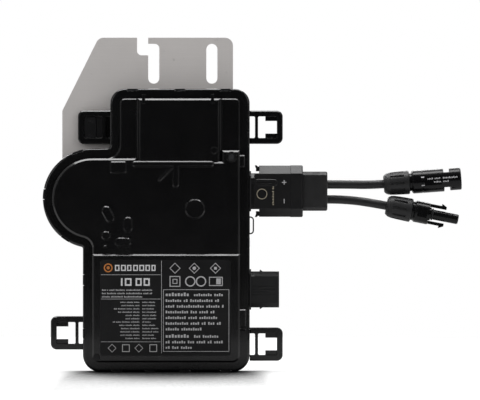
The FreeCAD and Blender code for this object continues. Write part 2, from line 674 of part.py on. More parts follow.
def status_light_pipe():
    light_x, light_z = light_place()
    front = MID
    pipe = cylinder(light_x, front, BOARD_FRONT - 1.2, light_z, LIGHT_RADIUS)
    return pipe.makeFillet(0.8, edges_at(pipe, front))


def status_led():
    light_x, light_z = light_place()
    return block(light_x - 1.6, light_x + 1.6, BOARD_FRONT - 1.2, BOARD_FRONT, light_z - 0.9, light_z + 0.9)


def fill_plug():
    x, z = VENT_PLACE
    return cylinder(LEFT + x, FRONT + VENT_DEPTH / 2, FRONT + VENT_DEPTH, z, VENT_RADIUS)


def rating_label():
    return slab(label_area(), FRONT, FRONT + LABEL_THICKNESS)


def serial_label():
    half = BACK_LABEL_WIDTH / 2
    return slab(rectangle(-half, half, FOOT_CORNER, FOOT_CORNER + BACK_LABEL_HEIGHT, 2.0), BACK,
                BACK + LABEL_THICKNESS)


# ---- The bracket ----

def ear_window(margin):
    """The upper left ear's narrow opening, made smaller all round by margin."""
    return rectangle(SHOULDER_X - EAR_LENGTH + EAR_BAR + margin, SHOULDER_X - EAR_OPENING - margin,
                     EAR_UPPER_Z + EAR_BAR + EAR_LEDGE + margin,
                     EAR_UPPER_Z + EAR_HEIGHT - EAR_BAR - EAR_LEDGE - margin, 0.8)


def mounting_bracket():
    outline = rounded([
        (PLATE_LEFT, PLATE_BOTTOM, 2 * PLATE_CORNER), (PLATE_RIGHT, PLATE_BOTTOM, 2 * PLATE_CORNER),
        (PLATE_RIGHT, PLATE_TOP, PLATE_CORNER), (SHOULDER_X - PLATE_SLOPE_GAP, PLATE_TOP, PLATE_CORNER),
        (PLATE_LEFT, CASE_HEIGHT - PLATE_SLOPE_DROP, 2.0)])
    half = SLOT_WIDTH / 2
    foot = CASE_HEIGHT + SLOT_RISE
    head = foot + SLOT_LENGTH
    x = PLATE_RIGHT - SLOT_RIGHT_GAP
    closed = obround(x, (foot + head) / 2, SLOT_LENGTH, SLOT_WIDTH, 90)
    x -= SLOT_PITCH
    seat = obround(x, foot + SLOT_LENGTH / 3, SLOT_LENGTH * 2 / 3, SLOT_WIDTH, 90)
    neck = rounded([(x - half, foot + half, 0), (x + half, foot + half, 0), (x + half, head, HOOK_CORNER),
                    (x - half, head, 0)])
    entry = rounded([(x - 3 * half, PLATE_TOP - HOOK_DEPTH, HOOK_CORNER), (x, PLATE_TOP - HOOK_DEPTH, 0),
                     (x, head - 1, 0), (x - half, head - 1, 0), (x - half, PLATE_TOP + 1, 0),
                     (x - 3 * half, PLATE_TOP + 1, 0)])
    cuts = [slab(f, BACK - 1, PLATE_BACK + 1) for f in (closed, seat, neck, entry, ear_window(0))]
    cuts += [cylinder(x, BACK - 1, PLATE_BACK + 1, z, SCREW_RADIUS + 0.3) for x, z in SCREW_PLACES]
    return slab(outline, BACK, PLATE_BACK).cut(cuts).removeSplitter()


def bracket_clip():
    """The plug that holds the bracket in the upper left ear."""
    front = BACK - EAR_THICKNESS
    left, ledge = SHOULDER_X - EAR_LENGTH + EAR_BAR, SHOULDER_X - EAR_LEDGE_START
    low, high = EAR_UPPER_Z + EAR_BAR, EAR_UPPER_Z + EAR_HEIGHT - EAR_BAR
    seat = front + EAR_LEDGE_SETBACK
    stem = slab(ear_window(CLIP_GAP), seat - 1, PLATE_BACK + OVERLAP)
    foot, top = low + CLIP_GAP, high - CLIP_GAP
    cap = raised(rectangle(left + CLIP_GAP, ledge + 1.0, foot, top, 0.8), front + 0.6, seat, 0.4)
    fill = slab(rectangle(ledge + CLIP_GAP, SHOULDER_X - EAR_OPENING - CLIP_GAP, foot, top, 0.6),
                front + 1.2, BACK)
    grip = [slab(rectangle(left + 3.0, ledge - 1.5, z - 0.35, z + 0.35), front, front + 1.1)
            for z in (low + 2.6, low + 4.0, high - 4.0, high - 2.6)]
    head = slab(ear_window(-1.2), PLATE_BACK, PLATE_BACK + 1.4)
    return joined([stem, cap, fill, head]).cut(grip)


def bracket_screws():
    screws = []
    seat = PLATE_BACK + WASHER_THICKNESS
    top = seat + SCREW_HEAD_HEIGHT
    for x, z in SCREW_PLACES:
        shank = cylinder(x, PLATE_BACK - SCREW_LENGTH, seat + OVERLAP, z, SCREW_RADIUS)
        head = cylinder(x, seat, top, z, SCREW_HEAD_RADIUS)
        head = head.makeFillet(0.9, edges_at(head, top))
        drive = [block(x - 2.2, x + 2.2, seat + 1.1, top + 1, z - 0.5, z + 0.5),
                 block(x - 0.5, x + 0.5, seat + 1.1, top + 1, z - 2.2, z + 2.2)]
        screws.append(shank.fuse(head).cut(drive))
    return Part.makeCompound(screws)


def bracket_washers():
    return Part.makeCompound([
        cylinder(x, PLATE_BACK, PLATE_BACK + WASHER_THICKNESS, z, WASHER_RADIUS).cut(
            cylinder(x, PLATE_BACK - 1, PLATE_BACK + 2, z, SCREW_RADIUS)) for x, z in SCREW_PLACES])


# ---- Bulkhead connectors ----

def barb(z, up):
    """The catch on a port's top (up is 1) or bottom (-1): steep towards the case, sloping outwards."""
    root = z + up * (PORT_HEIGHT / 2 - OVERLAP)
    tip = z + up * (PORT_HEIGHT / 2 + BARB_RISE)
    x0 = RIGHT + BARB_START
    y0 = PORT_Y - BARB_WIDTH / 2
    return polygon([vec(x0, y0, root), vec(x0 + BARB_LENGTH, y0, root), vec(x0 + OVERLAP, y0, tip),
                    vec(x0, y0, tip)]).extrude(vec(0, BARB_WIDTH, 0))


def port_body(z):
    """A port: flange inside the wall, shroud outside, and a catch above and below."""
    end = RIGHT + PORT_LENGTH
    shroud = port_section(0, RIGHT - RIM_WALL - OVERLAP, end, z)
    shroud = joined([shroud, port_flange(z), barb(z, 1), barb(z, -1)])
    return shroud.cut(port_hollow(0, RIGHT, end + 1, z))


def pin_heights(count, pitch, z):
    return [z + (i - (count - 1) / 2) * pitch for i in range(count)]


def pin_group(heights):
    """The contact pins of a port, with a chamfered nose and a tail inside the case."""
    made = []
    tip = RIGHT + PIN_LENGTH
    for z in heights:
        pin = rod(RIGHT - RIM_WALL - PIN_TAIL, tip, PORT_Y, z, PIN_RADIUS)
        made.append(pin.makeChamfer(0.6, [e for e in pin.Edges if e.BoundBox.XMin > tip - 0.01]))
    return Part.makeCompound(made)


def pin_holes(heights):
    return [rod(0, BEYOND, PORT_Y, z, PIN_RADIUS) for z in heights]


def key(grow, x0, x1):
    """The polarising rib on the DC port's front, larger all round by grow."""
    face = PORT_Y - PORT_DEPTH / 2
    z, half = DC_HEIGHT + KEY_RISE, KEY_WIDTH / 2 + grow
    return block(x0, x1, face - KEY_HEIGHT - grow, face + OVERLAP, z - half, z + half)


def dc_port():
    body = port_body(DC_HEIGHT).cut(pin_holes(pin_heights(2, DC_PIN_PITCH, DC_HEIGHT)))
    return body.fuse(key(0, RIGHT, RIGHT + PORT_LENGTH)).removeSplitter()


def ac_port():
    """The AC port, with fine ribs across the middle of its front."""
    front = PORT_Y - PORT_DEPTH / 2
    grooves = [block(RIGHT + 2.0, RIGHT + PORT_LENGTH - 3.0, front - 1, front + 0.5, AC_HEIGHT + h - 0.4,
                     AC_HEIGHT + h + 0.4) for h in (2.4, 0.4, -1.6, -3.6)]
    return port_body(AC_HEIGHT).cut(pin_holes(pin_heights(4, AC_PIN_PITCH, AC_HEIGHT)) + grooves)


def port_gasket(port, z):
    """The seal round a port, against the outside of the case."""
    ring = port_section(GASKET_WIDTH, RIGHT, RIGHT + 1.0, z)
    return ring.cut([port_section(0, RIGHT - 1, RIGHT + 2, z), port])


# ---- Electronics ----

def circuit_board():
    board = slab(case_outline(RIM_WALL + BOARD_MARGIN), BOARD_FRONT, BOARD_BACK)
    return board.cut([port_flange(z, SLIDE_CLEARANCE) for z in (DC_HEIGHT, AC_HEIGHT)])


def on_board(x0, x1, z0, z1, height):
    """A block that stands on the board's front."""
    return block(x0, x1, BOARD_FRONT - height, BOARD_FRONT, z0, z1)


def transformer_space(radius):
    """The ring between the transformer's post and a radius, inside its two flat walls."""
    low, high = BOARD_FRONT - TRANSFORMER_HEIGHT + TRANSFORMER_WALL, BOARD_FRONT - TRANSFORMER_WALL
    return cylinder(BULGE_X, low, high, BULGE_Z, radius).cut(
        cylinder(BULGE_X, low, high, BULGE_Z, TRANSFORMER_POST))


def transformer_core():
    """A pot core with a window for its wires."""
    core = cylinder(BULGE_X, BOARD_FRONT - TRANSFORMER_HEIGHT, BOARD_FRONT, BULGE_Z, TRANSFORMER_RADIUS)
    window = block(BULGE_X - 6, BULGE_X + 6, FRONT, BACK, BULGE_Z + TRANSFORMER_RADIUS - 5,
                   BULGE_Z + TRANSFORMER_RADIUS + 1)
    bore = cylinder(BULGE_X, FRONT, BACK, BULGE_Z, TRANSFORMER_POST / 3)
    return core.cut([transformer_space(TRANSFORMER_RADIUS - TRANSFORMER_WALL), window, bore])


def transformer_winding():
    return transformer_space(TRANSFORMER_RADIUS - TRANSFORMER_WALL - 2.0)


def input_capacitors():
    cans = []
    front = BOARD_FRONT - CAPACITOR_HEIGHT
    for i in range(4):
        x = BULGE_X + TRANSFORMER_RADIUS + 2 * CAPACITOR_RADIUS + CAPACITOR_PITCH * i
        can = cylinder(x, front, BOARD_FRONT, DC_HEIGHT + CAPACITOR_RADIUS, CAPACITOR_RADIUS)
        cans.append(can.makeFillet(0.8, edges_at(can, front)))
    return Part.makeCompound(cans)


def film_capacitor():
    return on_board(LEFT + 48.5, LEFT + 76.5, AC_HEIGHT + 22.0, AC_HEIGHT + 34.0, 11.5)


def choke_ring(inner, outer, space):
    """A ring about the choke's middle, standing off the board by a space."""
    x, z = RIGHT - 32.5, AC_HEIGHT - 2.0
    y0, y1 = BOARD_FRONT - CHOKE_HEIGHT - 2 * CHOKE_WIRE + space, BOARD_FRONT - space
    return cylinder(x, y0, y1, z, outer).cut(cylinder(x, y0, y1, z, inner))


def filter_choke_core():
    return choke_ring(CHOKE_HOLE - 1.2, CHOKE_RADIUS, CHOKE_WIRE)


def filter_choke_winding():
    """Two half windings round the choke's core, with a gap above and below."""
    wound = choke_ring(CHOKE_HOLE - 1.2 - CHOKE_WIRE, CHOKE_RADIUS + CHOKE_WIRE, 0).cut(filter_choke_core())
    gap = block(RIGHT - 34.0, RIGHT - 31.0, FRONT, BACK, 0, CASE_HEIGHT)
    return Part.makeCompound(wound.cut(gap).Solids)


def power_transistors():
    width, height, depth = TRANSISTOR_SIZE
    left = LEFT + 43.5
    return Part.makeCompound([on_board(x, x + width, z, z + depth, height)
                              for x in (left, left + 18.0, left + 36.0)
                              for z in (DC_HEIGHT - 35.5, DC_HEIGHT - 22.5)])


def heat_spreader():
    """The aluminium plate over the transistors, with a foot down to the board on each side."""
    low, high = DC_HEIGHT - 38.0, DC_HEIGHT - 11.0
    left, right = LEFT + 41.5, LEFT + 91.5
    gap = TRANSISTOR_SIZE[1]
    top = gap + SPREADER_THICKNESS
    plate = on_board(left, right, low, high, top).cut(on_board(left, right, low, high, gap))
    feet = [on_board(x, x + SPREADER_THICKNESS, low, high, top - OVERLAP)
            for x in (left, right - SPREADER_THICKNESS)]
    return joined([plate] + feet)


def control_chips():
    return Part.makeCompound([on_board(LEFT + x, LEFT + x + width, z, z + depth, 1.6)
                              for x, z, width, depth
                              in ((22.5, 70, 14, 14), (18.5, 50, 8, 8), (42.5, 40, 8, 6))])


def surge_varistors():
    return Part.makeCompound([cylinder(x, BOARD_FRONT - 4.5, BOARD_FRONT, 32.0, VARISTOR_RADIUS)
                              for x in (0.0, 2.6 * VARISTOR_RADIUS)])


def inner_parts():
    return {
        "circuit_board": circuit_board(), "transformer_core": transformer_core(),
        "transformer_winding": transformer_winding(), "input_capacitors": input_capacitors(),
        "film_capacitor": film_capacitor(), "filter_choke_core": filter_choke_core(),
        "filter_choke_winding": filter_choke_winding(), "power_transistors": power_transistors(),
        "heat_spreader": heat_spreader(), "control_chips": control_chips(),
        "surge_varistors": surge_varistors(), "status_led": status_led(),
    }


def potting_compound(inside):
    """The resin that fills the case round everything in it."""
    fill = cavity().common(block(-BEYOND, BEYOND, FRONT, POTTING_TOP, -1, BEYOND))
    for part in inside:
        fill = fill.cut(part)
    return max(fill.Solids, key=lambda solid: solid.Volume)


# ---- DC adapter ----

def adapter_section(grow, x0, x1):
    """The adapter's outer shape: a block with slanting edges along its top and bottom."""
    return octagon(ADAPTER_HEIGHT + grow, ADAPTER_DEPTH + grow, ADAPTER_SLOPE, x0, x1, DC_HEIGHT)


def latch_channel(up):
    """The space that a latch lies in, above (up is 1) or below (-1) the port."""
    z0, z1 = sorted((DC_HEIGHT + up * (PORT_HEIGHT / 2 + SLIDE_CLEARANCE), DC_HEIGHT + up * ADAPTER_HEIGHT))
    half = LATCH_WIDTH / 2 + LATCH_CLEARANCE
    return block(ADAPTER_START - 1, ADAPTER_START + LATCH_LENGTH + 1.2, PORT_Y - half, PORT_Y + half, z0, z1)


def adapter_housing():
    """The sleeve over the port, with its latch channels and the raised strip over the key."""
    deep = RIGHT + PORT_LENGTH + 0.6
    face = PORT_Y - ADAPTER_DEPTH / 2
    middle_half = ADAPTER_HEIGHT / 2 - ADAPTER_SLOPE
    front = block(ADAPTER_START, ADAPTER_START + ADAPTER_FACE_LEAD + 1, face, face + ADAPTER_DEPTH,
                  DC_HEIGHT - middle_half, DC_HEIGHT + middle_half)
    tunnel_x = ADAPTER_START + TUNNEL_LENGTH / 2
    strip = raised(obround(tunnel_x, DC_HEIGHT + KEY_RISE, TUNNEL_LENGTH, TUNNEL_WIDTH),
                   face - TUNNEL_HEIGHT, face + OVERLAP, TUNNEL_HEIGHT * 0.8)
    outer = joined([adapter_section(0, ADAPTER_START + ADAPTER_FACE_LEAD, COLLAR_START), front, strip])
    pocket = slab(obround(tunnel_x, DC_HEIGHT + KEY_RISE, TUNNEL_LENGTH - 3.0, 1.6),
                  face - TUNNEL_HEIGHT - 1, face + 0.2)
    return outer.cut([
        port_section(SLIDE_CLEARANCE, ADAPTER_START - 1, deep, DC_HEIGHT), key(SLIDE_CLEARANCE, RIGHT, deep),
        latch_channel(1), latch_channel(-1), pocket, adapter_carrier(),
    ])


def adapter_carrier():
    """The block inside the port's hollow that carries the contacts."""
    return port_hollow(SLIDE_CLEARANCE, ADAPTER_START + 1.2, COLLAR_START, DC_HEIGHT)


def contact_rods(x0, x1, radius):
    return [rod(x0, x1, PORT_Y, z, radius) for z in pin_heights(2, DC_PIN_PITCH, DC_HEIGHT)]


def adapter_insert():
    return adapter_carrier().cut(contact_rods(0, COLLAR_START + 1, SLEEVE_RADIUS))


def adapter_contacts():
    """The two sleeves that receive the port's pins, with a solid crimp end."""
    sleeves = Part.makeCompound(contact_rods(ADAPTER_START + 2.0, COLLAR_START, SLEEVE_RADIUS))
    return sleeves.cut(contact_rods(0, RIGHT + PIN_LENGTH + 1.0, PIN_RADIUS + 0.1))


def adapter_seal():
    """The face seal at the bottom of the adapter's hollow, which the port's end presses on."""
    x0, x1 = RIGHT + PORT_LENGTH + 0.1, RIGHT + PORT_LENGTH + 0.6
    return port_section(0, x0, x1, DC_HEIGHT).cut(port_hollow(0, x0 - 1, x1 + 1, DC_HEIGHT))


def adapter_collar():
    collar = adapter_section(COLLAR_STEP, COLLAR_START, OVERMOLD_START)
    return collar.makeFillet(1.2, [e for e in collar.Edges if e.BoundBox.XMin > OVERMOLD_START - 0.01])


def adapter_overmold():
    body = octagon(OVERMOLD_HEIGHT, OVERMOLD_DEPTH, OVERMOLD_EDGE, OVERMOLD_START, CABLE_START, DC_HEIGHT)
    return body.makeFillet(1.4, [e for e in body.Edges if e.BoundBox.XMin > CABLE_START - 0.01])


def latch(up):
    """A spring arm with a hook at the case end. It swings about its other end."""
    x0, x1 = ADAPTER_START + 0.4, ADAPTER_START + 0.9 + LATCH_LENGTH
    low = PORT_HEIGHT / 2 + BARB_RISE + LATCH_CLEARANCE
    arm_low = low + 0.9
    arm_high = arm_low + LATCH_THICKNESS
    tooth = RIGHT + BARB_START - LATCH_CLEARANCE
    points = [(x0 + 0.8, low), (tooth - 0.6, low), (tooth, low + 0.4), (tooth + 1.6, arm_low), (x1, arm_low),
              (x1, arm_high), (x0 + 2.4, arm_high), (x0 + 1.4, arm_high + 0.9), (x0, arm_high + 0.9),
              (x0 + 0.9, arm_high - 1.4)]
    y0 = PORT_Y - LATCH_WIDTH / 2
    return polygon([vec(x, y0, DC_HEIGHT + up * h) for x, h in points]).extrude(vec(0, LATCH_WIDTH, 0))


# ---- Leads ----

def lead_frame(entry, tilt):
    """Placement that carries a connector drawn along +X from the origin to its place on the lead."""
    x, y, z = entry
    return FreeCAD.Placement(vec(CABLE_START + x, PORT_Y + y, DC_HEIGHT + z),
                             FreeCAD.Rotation(vec(0, -1, 0), tilt))


def cable_route(exit_z, first_run, entry, tilt, lead_in):
    """The route's four points: out of the overmold, a bend, a point before the nut and the end inside it."""
    frame = lead_frame(entry, tilt)
    return [vec(CABLE_START, PORT_Y, exit_z), vec(CABLE_START + first_run, PORT_Y, exit_z),
            frame.multVec(vec(-lead_in, 0, 0)), frame.multVec(vec(CABLE_DEPTH, 0, 0))]


def cable(name, points):
    """A round cable along straight runs joined by tangent arcs, each as large as its runs allow."""
    edges = []
    here = points[0]
    for i in range(1, len(points) - 1):
        before, after = points[i] - points[i - 1], points[i + 1] - points[i]
        half = before.getAngle(after) / 2
        cut = 0.45 * min(before.Length, after.Length)
        bend = cut / math.tan(half)
        print(f"{name}: bend {i} has radius {bend:.0f} mm")
        before.normalize()
        after.normalize()
        start, end = points[i] - before * cut, points[i] + after * cut
        inward = after - before
        inward.normalize()
        top = points[i] + inward * (bend / math.cos(half) - bend)
        edges += [Part.makeLine(here, start), Part.Arc(start, top, end).toShape()]
        here = end
    edges.append(Part.makeLine(here, points[-1]))
    path = Part.Wire(edges)
    circle = Part.Wire(Part.makeCircle(CABLE_RADIUS, points[0], points[1] - points[0]))
    tube = path.makePipeShell([circle], True, False)
    ratio = tube.Volume / (math.pi * CABLE_RADIUS ** 2 * path.Length)
    print(f"{name}: length {path.Length:.1f} mm, volume over section times length {ratio:.4f}")
    return tube


def turned(points):
    """A solid of revolution about X from (x, radius) corners."""
    return polygon([vec(x, 0, r) for x, r in points]).revolve(vec(0, 0, 0), vec(1, 0, 0), 360)


def axial_ring(x0, x1, inner, outer):
    return rod(x0, x1, 0, 0, outer).cut(rod(x0 - 1, x1 + 1, 0, 0, inner))


def above_and_below(x0, x1, half_width, near, far):
    """A block above the X axis and its twin below it."""
    return [block(x0, x1, -half_width, half_width, near, far),
            block(x0, x1, -half_width, half_width, -far, -near)]


def before_and_behind(x0, x1, half_height, near, far):
    """A block in front of the X axis and its twin behind it."""
    return [block(x0, x1, near, far, -half_height, half_height),
            block(x0, x1, -far, -near, -half_height, half_height)]


def gland_nut():
    """The ribbed nut at the cable end, hollow over the clamp ring and the thread."""
    bore = CABLE_RADIUS + CABLE_CLEARANCE
    hollow = THREAD_RADIUS + THREAD_CLEARANCE
    nut = turned([(0, bore), (0, NUT_RADIUS * 0.68), (0.8, NUT_RADIUS * 0.78), (2.2, NUT_RADIUS * 0.88),
                  (4.4, NUT_RADIUS * 0.94), (9.0, NUT_RADIUS * 0.97), (NUT_LENGTH - 0.8, NUT_RADIUS),
                  (NUT_LENGTH, NUT_RADIUS - 0.6), (NUT_LENGTH, hollow), (NUT_FACE, hollow), (NUT_FACE, bore)])
    grooves = []
    for i in range(NUT_RIBS):
        groove = block(5.0, NUT_LENGTH - 4.0, -1.0, 1.0, NUT_RADIUS - 1.2, NUT_RADIUS + 1)
        groove.rotate(vec(0, 0, 0), vec(1, 0, 0), 360.0 / NUT_RIBS * (i + 0.5))
        grooves.append(groove)
    return nut.cut(grooves)


def clamp_ring():
    """The slit ring that the nut presses round the cable."""
    x0 = NUT_FACE + THREAD_CLEARANCE
    x1 = x0 + RING_LENGTH
    bore = CABLE_RADIUS + CABLE_CLEARANCE
    body = turned([(x0, bore), (x0, THREAD_RADIUS - 1.6), (x0 + 1.5, THREAD_RADIUS - 0.6),
                   (x1, THREAD_RADIUS - 0.6), (x1, bore)])
    slits = []
    for i in range(6):
        slit = block(x0 - 1, x1 - 1.4, -0.4, 0.4, 1.0, THREAD_RADIUS)
        slit.rotate(vec(0, 0, 0), vec(1, 0, 0), 60.0 * i)
        slits.append(slit)
    return body.cut(slits)


def cable_seal():
    return axial_ring(SEAL_START, SEAL_START + SEAL_LENGTH, CABLE_RADIUS, THREAD_RADIUS - STUB_WALL)


def connector_neck():
    """The threaded end that both connectors have inside the nut, with a flange in the gap behind it."""
    stub = axial_ring(SEAL_START + 0.4, BODY_START, THREAD_RADIUS - STUB_WALL, THREAD_RADIUS)
    flange = rod(NUT_LENGTH + 0.2, BODY_START + 1, 0, 0, THREAD_RADIUS + 0.6)
    return [stub, flange, rod(CABLE_DEPTH, BODY_START + 1, 0, 0, THREAD_RADIUS - STUB_WALL + 0.1)]


def arm_sides():
    """How far a snap arm's inner and outer sides are from the connector's axis."""
    return ARM_SPREAD - ARM_THICKNESS / 2, ARM_SPREAD + ARM_THICKNESS / 2


def socket_body():
    """The wide connector: a sleeve with a window above and below near its open end."""
    start, end, r = BODY_START, SOCKET_LENGTH, SOCKET_RADIUS
    outer = turned([(start, 0), (start, r - 0.8), (start + 1.0, r), (end - 0.8, r), (end, r - 0.6), (end, 0)])
    body = joined([outer] + connector_neck())
    window_end = WINDOW_START + WINDOW_LENGTH
    arm_half = ARM_WIDTH / 2 + TUBE_CLEARANCE
    inner, outer = arm_sides()
    seat = BODY_START + ARM_START - PLUG_LENGTH + SOCKET_LENGTH - WINDOW_START
    cuts = [rod(end - WINDOW_START + 10.0, end + 1, 0, 0, TUBE_RADIUS + TUBE_CLEARANCE),
            rod(0, end, 0, 0, CONTACT_RADIUS), axial_ring(start + 7.6, start + 8.2, r - 0.35, r + 1)]
    cuts += above_and_below(min(seat, WINDOW_START - 10.0), end + 1, arm_half, inner - TUBE_CLEARANCE,
                            outer - ARM_RELIEF + TUBE_CLEARANCE)
    cuts += above_and_below(WINDOW_START, window_end, r + 1, 5.6, r + 1)
    cuts += above_and_below(window_end - OVERLAP, end + 1, r + 1, r - 0.5, r + 1)
    cuts += before_and_behind(start + 9.5, WINDOW_START - 2.0, 5.0, r - 0.7, r + 1)
    return body.cut(cuts)


def socket_contact():
    """The pin contact in the wide connector."""
    tip = SOCKET_LENGTH - 7.0
    pin = rod(CABLE_DEPTH, tip, 0, 0, CONTACT_RADIUS)
    return pin.makeFillet(1.0, [e for e in pin.Edges if e.BoundBox.XMin > tip - 0.01])


def plug_body():
    """The narrow connector: a collar, with the tube that goes into the wide one."""
    start, end, r, tube = BODY_START, PLUG_LENGTH, PLUG_RADIUS, TUBE_RADIUS
    shoulder = ARM_START - 0.3
    outer = turned([(start, 0), (start, r - 0.8), (start + 1.0, r), (shoulder, r), (shoulder, tube + 1.1),
                    (shoulder + 1.6, tube + 1.1), (shoulder + 1.6, tube), (end - 0.8, tube),
                    (end, tube - 0.6), (end, 0)])
    body = joined([outer] + connector_neck())
    cuts = [rod(0, end + 1, 0, 0, tube - 1.2),
            axial_ring(shoulder + 2.0, shoulder + 3.6, tube - 0.5, tube + 1)]
    cuts += before_and_behind(start + 2.5, shoulder - 1.5, 4.5, r - 0.8, r + 1)
    return body.cut(cuts)


def plug_contact():
    """The sleeve contact in the narrow connector."""
    sleeve = rod(CABLE_DEPTH, PLUG_LENGTH - 2.0, 0, 0, TUBE_RADIUS - 1.2)
    return sleeve.cut(rod(PLUG_LENGTH - 20.0, PLUG_LENGTH, 0, 0, CONTACT_RADIUS + 0.1))


def plug_o_ring():
    """The seal in the tube's groove."""
    return Part.makeTorus(TUBE_RADIUS + 0.1, 0.6, vec(ARM_START + 2.5, 0, 0), vec(1, 0, 0))


def plug_arm(up):
    """A snap arm beside the tube, with an arrow-shaped end. It swings about its root."""
    inner, outer = arm_sides()
    end = ARM_START + ARM_LENGTH
    points = [(ARM_START, inner), (end, inner), (end, outer - 0.8), (end - 3.6, outer + ARM_RELIEF + 0.4),
              (end - 3.6, outer - ARM_RELIEF), (ARM_START, outer - ARM_RELIEF)]
    return polygon([vec(x, -ARM_WIDTH / 2, up * h) for x, h in points]).extrude(vec(0, ARM_WIDTH, 0))


def leads():
    """The two cables and everything on them."""
    drawn = {
        "socket_body": socket_body(), "socket_contact": socket_contact(), "plug_body": plug_body(),
        "plug_contact": plug_contact(), "plug_o_ring": plug_o_ring(), "plug_arm_upper": plug_arm(1),
        "plug_arm_lower": plug_arm(-1),
    }
    for name in ("socket", "plug"):
        drawn[name + "_nut"] = gland_nut()
        drawn[name + "_clamp_ring"] = clamp_ring()
        drawn[name + "_cable_seal"] = cable_seal()
    frames = {"socket": lead_frame(SOCKET_ENTRY, SOCKET_TILT), "plug": lead_frame(PLUG_ENTRY, PLUG_TILT)}
    made = {}
    for name, shape in drawn.items():
        shape.transformShape(frames[name.split("_")[0]].toMatrix())
        made[name] = shape
    high = DC_HEIGHT + CABLE_SHIFT + CABLE_PITCH / 2
    low = high - CABLE_PITCH
    positive = cable_route(high, 15.5, SOCKET_ENTRY, SOCKET_TILT, 4.0)
    negative = cable_route(low, 15.0, PLUG_ENTRY, PLUG_TILT, 6.0)
    made["positive_cable"] = cable("positive_cable", positive)
    made["negative_cable"] = cable("negative_cable", negative)
    return made


def adapter():
    return {
        "adapter_housing": adapter_housing(), "adapter_insert": adapter_insert(),
        "adapter_contacts": adapter_contacts(), "adapter_seal": adapter_seal(),
        "adapter_collar": adapter_collar(), "adapter_overmold": adapter_overmold(),
        "latch_upper": latch(1), "latch_lower": latch(-1),
    }


def case():
    inside = inner_parts()
    fitted = {
        "dc_port": dc_port(), "dc_port_gasket": port_gasket(dc_port(), DC_HEIGHT),
        "dc_pins": pin_group(pin_heights(2, DC_PIN_PITCH, DC_HEIGHT)),
        "ac_port": ac_port(), "ac_port_gasket": port_gasket(ac_port(), AC_HEIGHT),
        "ac_pins": pin_group(pin_heights(4, AC_PIN_PITCH, AC_HEIGHT)),
        "status_light_pipe": status_light_pipe(),
    }
    outside = {
        "front_shell": front_shell(), "rear_cover": rear_cover(), "perimeter_gasket": perimeter_gasket(),
        "potting_compound": potting_compound(list(inside.values()) + list(fitted.values())),
        "rating_label": rating_label(), "serial_label": serial_label(), "fill_plug": fill_plug(),
        "ear_upper_right": cable_ear(1, EAR_UPPER_Z, RIGHT),
        "ear_upper_left": cable_ear(-1, EAR_UPPER_Z, SHOULDER_X, EAR_WEB),
        "ear_lower_right": cable_ear(1, EAR_RIGHT_LOWER_Z, RIGHT),
        "ear_lower_left": cable_ear(-1, EAR_LEFT_LOWER_Z, LEFT),
        "mounting_bracket": mounting_bracket(), "bracket_clip": bracket_clip(),
        "bracket_screws": bracket_screws(), "bracket_washers": bracket_washers(),
    }
    return {**outside, **fitted, **inside}


def main():
    os.makedirs("parts", exist_ok=True)
    for name, shape in {**case(), **adapter(), **leads()}.items():
        state = "" if shape.isValid() else ", NOT VALID"
        print(f"{name}: {len(shape.Solids)} solids, {shape.Volume / 1000:.2f} cm3{state}")
        shape.exportStep(f"parts/{name}.step")


main()
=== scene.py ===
import json
import math

import bmesh
import bpy
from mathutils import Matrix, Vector

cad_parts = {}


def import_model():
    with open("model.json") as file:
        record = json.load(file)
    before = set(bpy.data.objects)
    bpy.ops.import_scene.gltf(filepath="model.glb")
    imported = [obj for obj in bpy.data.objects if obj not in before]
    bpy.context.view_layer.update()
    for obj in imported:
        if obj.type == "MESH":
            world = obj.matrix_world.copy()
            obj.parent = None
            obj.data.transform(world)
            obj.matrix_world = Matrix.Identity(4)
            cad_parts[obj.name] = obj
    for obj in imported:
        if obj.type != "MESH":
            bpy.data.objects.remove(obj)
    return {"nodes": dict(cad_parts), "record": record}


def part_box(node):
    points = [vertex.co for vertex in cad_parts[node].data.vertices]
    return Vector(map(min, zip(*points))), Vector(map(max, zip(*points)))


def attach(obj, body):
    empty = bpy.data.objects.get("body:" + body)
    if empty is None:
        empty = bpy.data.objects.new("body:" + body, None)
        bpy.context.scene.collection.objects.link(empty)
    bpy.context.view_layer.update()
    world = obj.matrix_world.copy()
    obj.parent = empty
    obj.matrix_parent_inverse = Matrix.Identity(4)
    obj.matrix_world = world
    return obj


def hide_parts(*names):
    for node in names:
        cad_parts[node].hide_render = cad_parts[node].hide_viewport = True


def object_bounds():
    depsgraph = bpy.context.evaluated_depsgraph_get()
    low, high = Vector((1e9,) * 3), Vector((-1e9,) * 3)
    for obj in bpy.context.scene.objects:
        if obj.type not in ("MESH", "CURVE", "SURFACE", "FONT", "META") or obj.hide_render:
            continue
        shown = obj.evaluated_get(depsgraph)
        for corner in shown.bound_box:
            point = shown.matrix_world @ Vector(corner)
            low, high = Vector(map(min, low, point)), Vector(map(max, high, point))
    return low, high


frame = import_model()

cad_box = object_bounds()

# ---- Camera ----
CAMERA_CENTRE = (0.0552, 0.1287)    # x and height of the middle of the view, in metres
CAMERA_DISTANCE = 2.4               # from the case's front
VIEW_WIDTH = 0.358                  # what the view takes in at the case's front
SENSOR_WIDTH = 36.0                 # millimetres

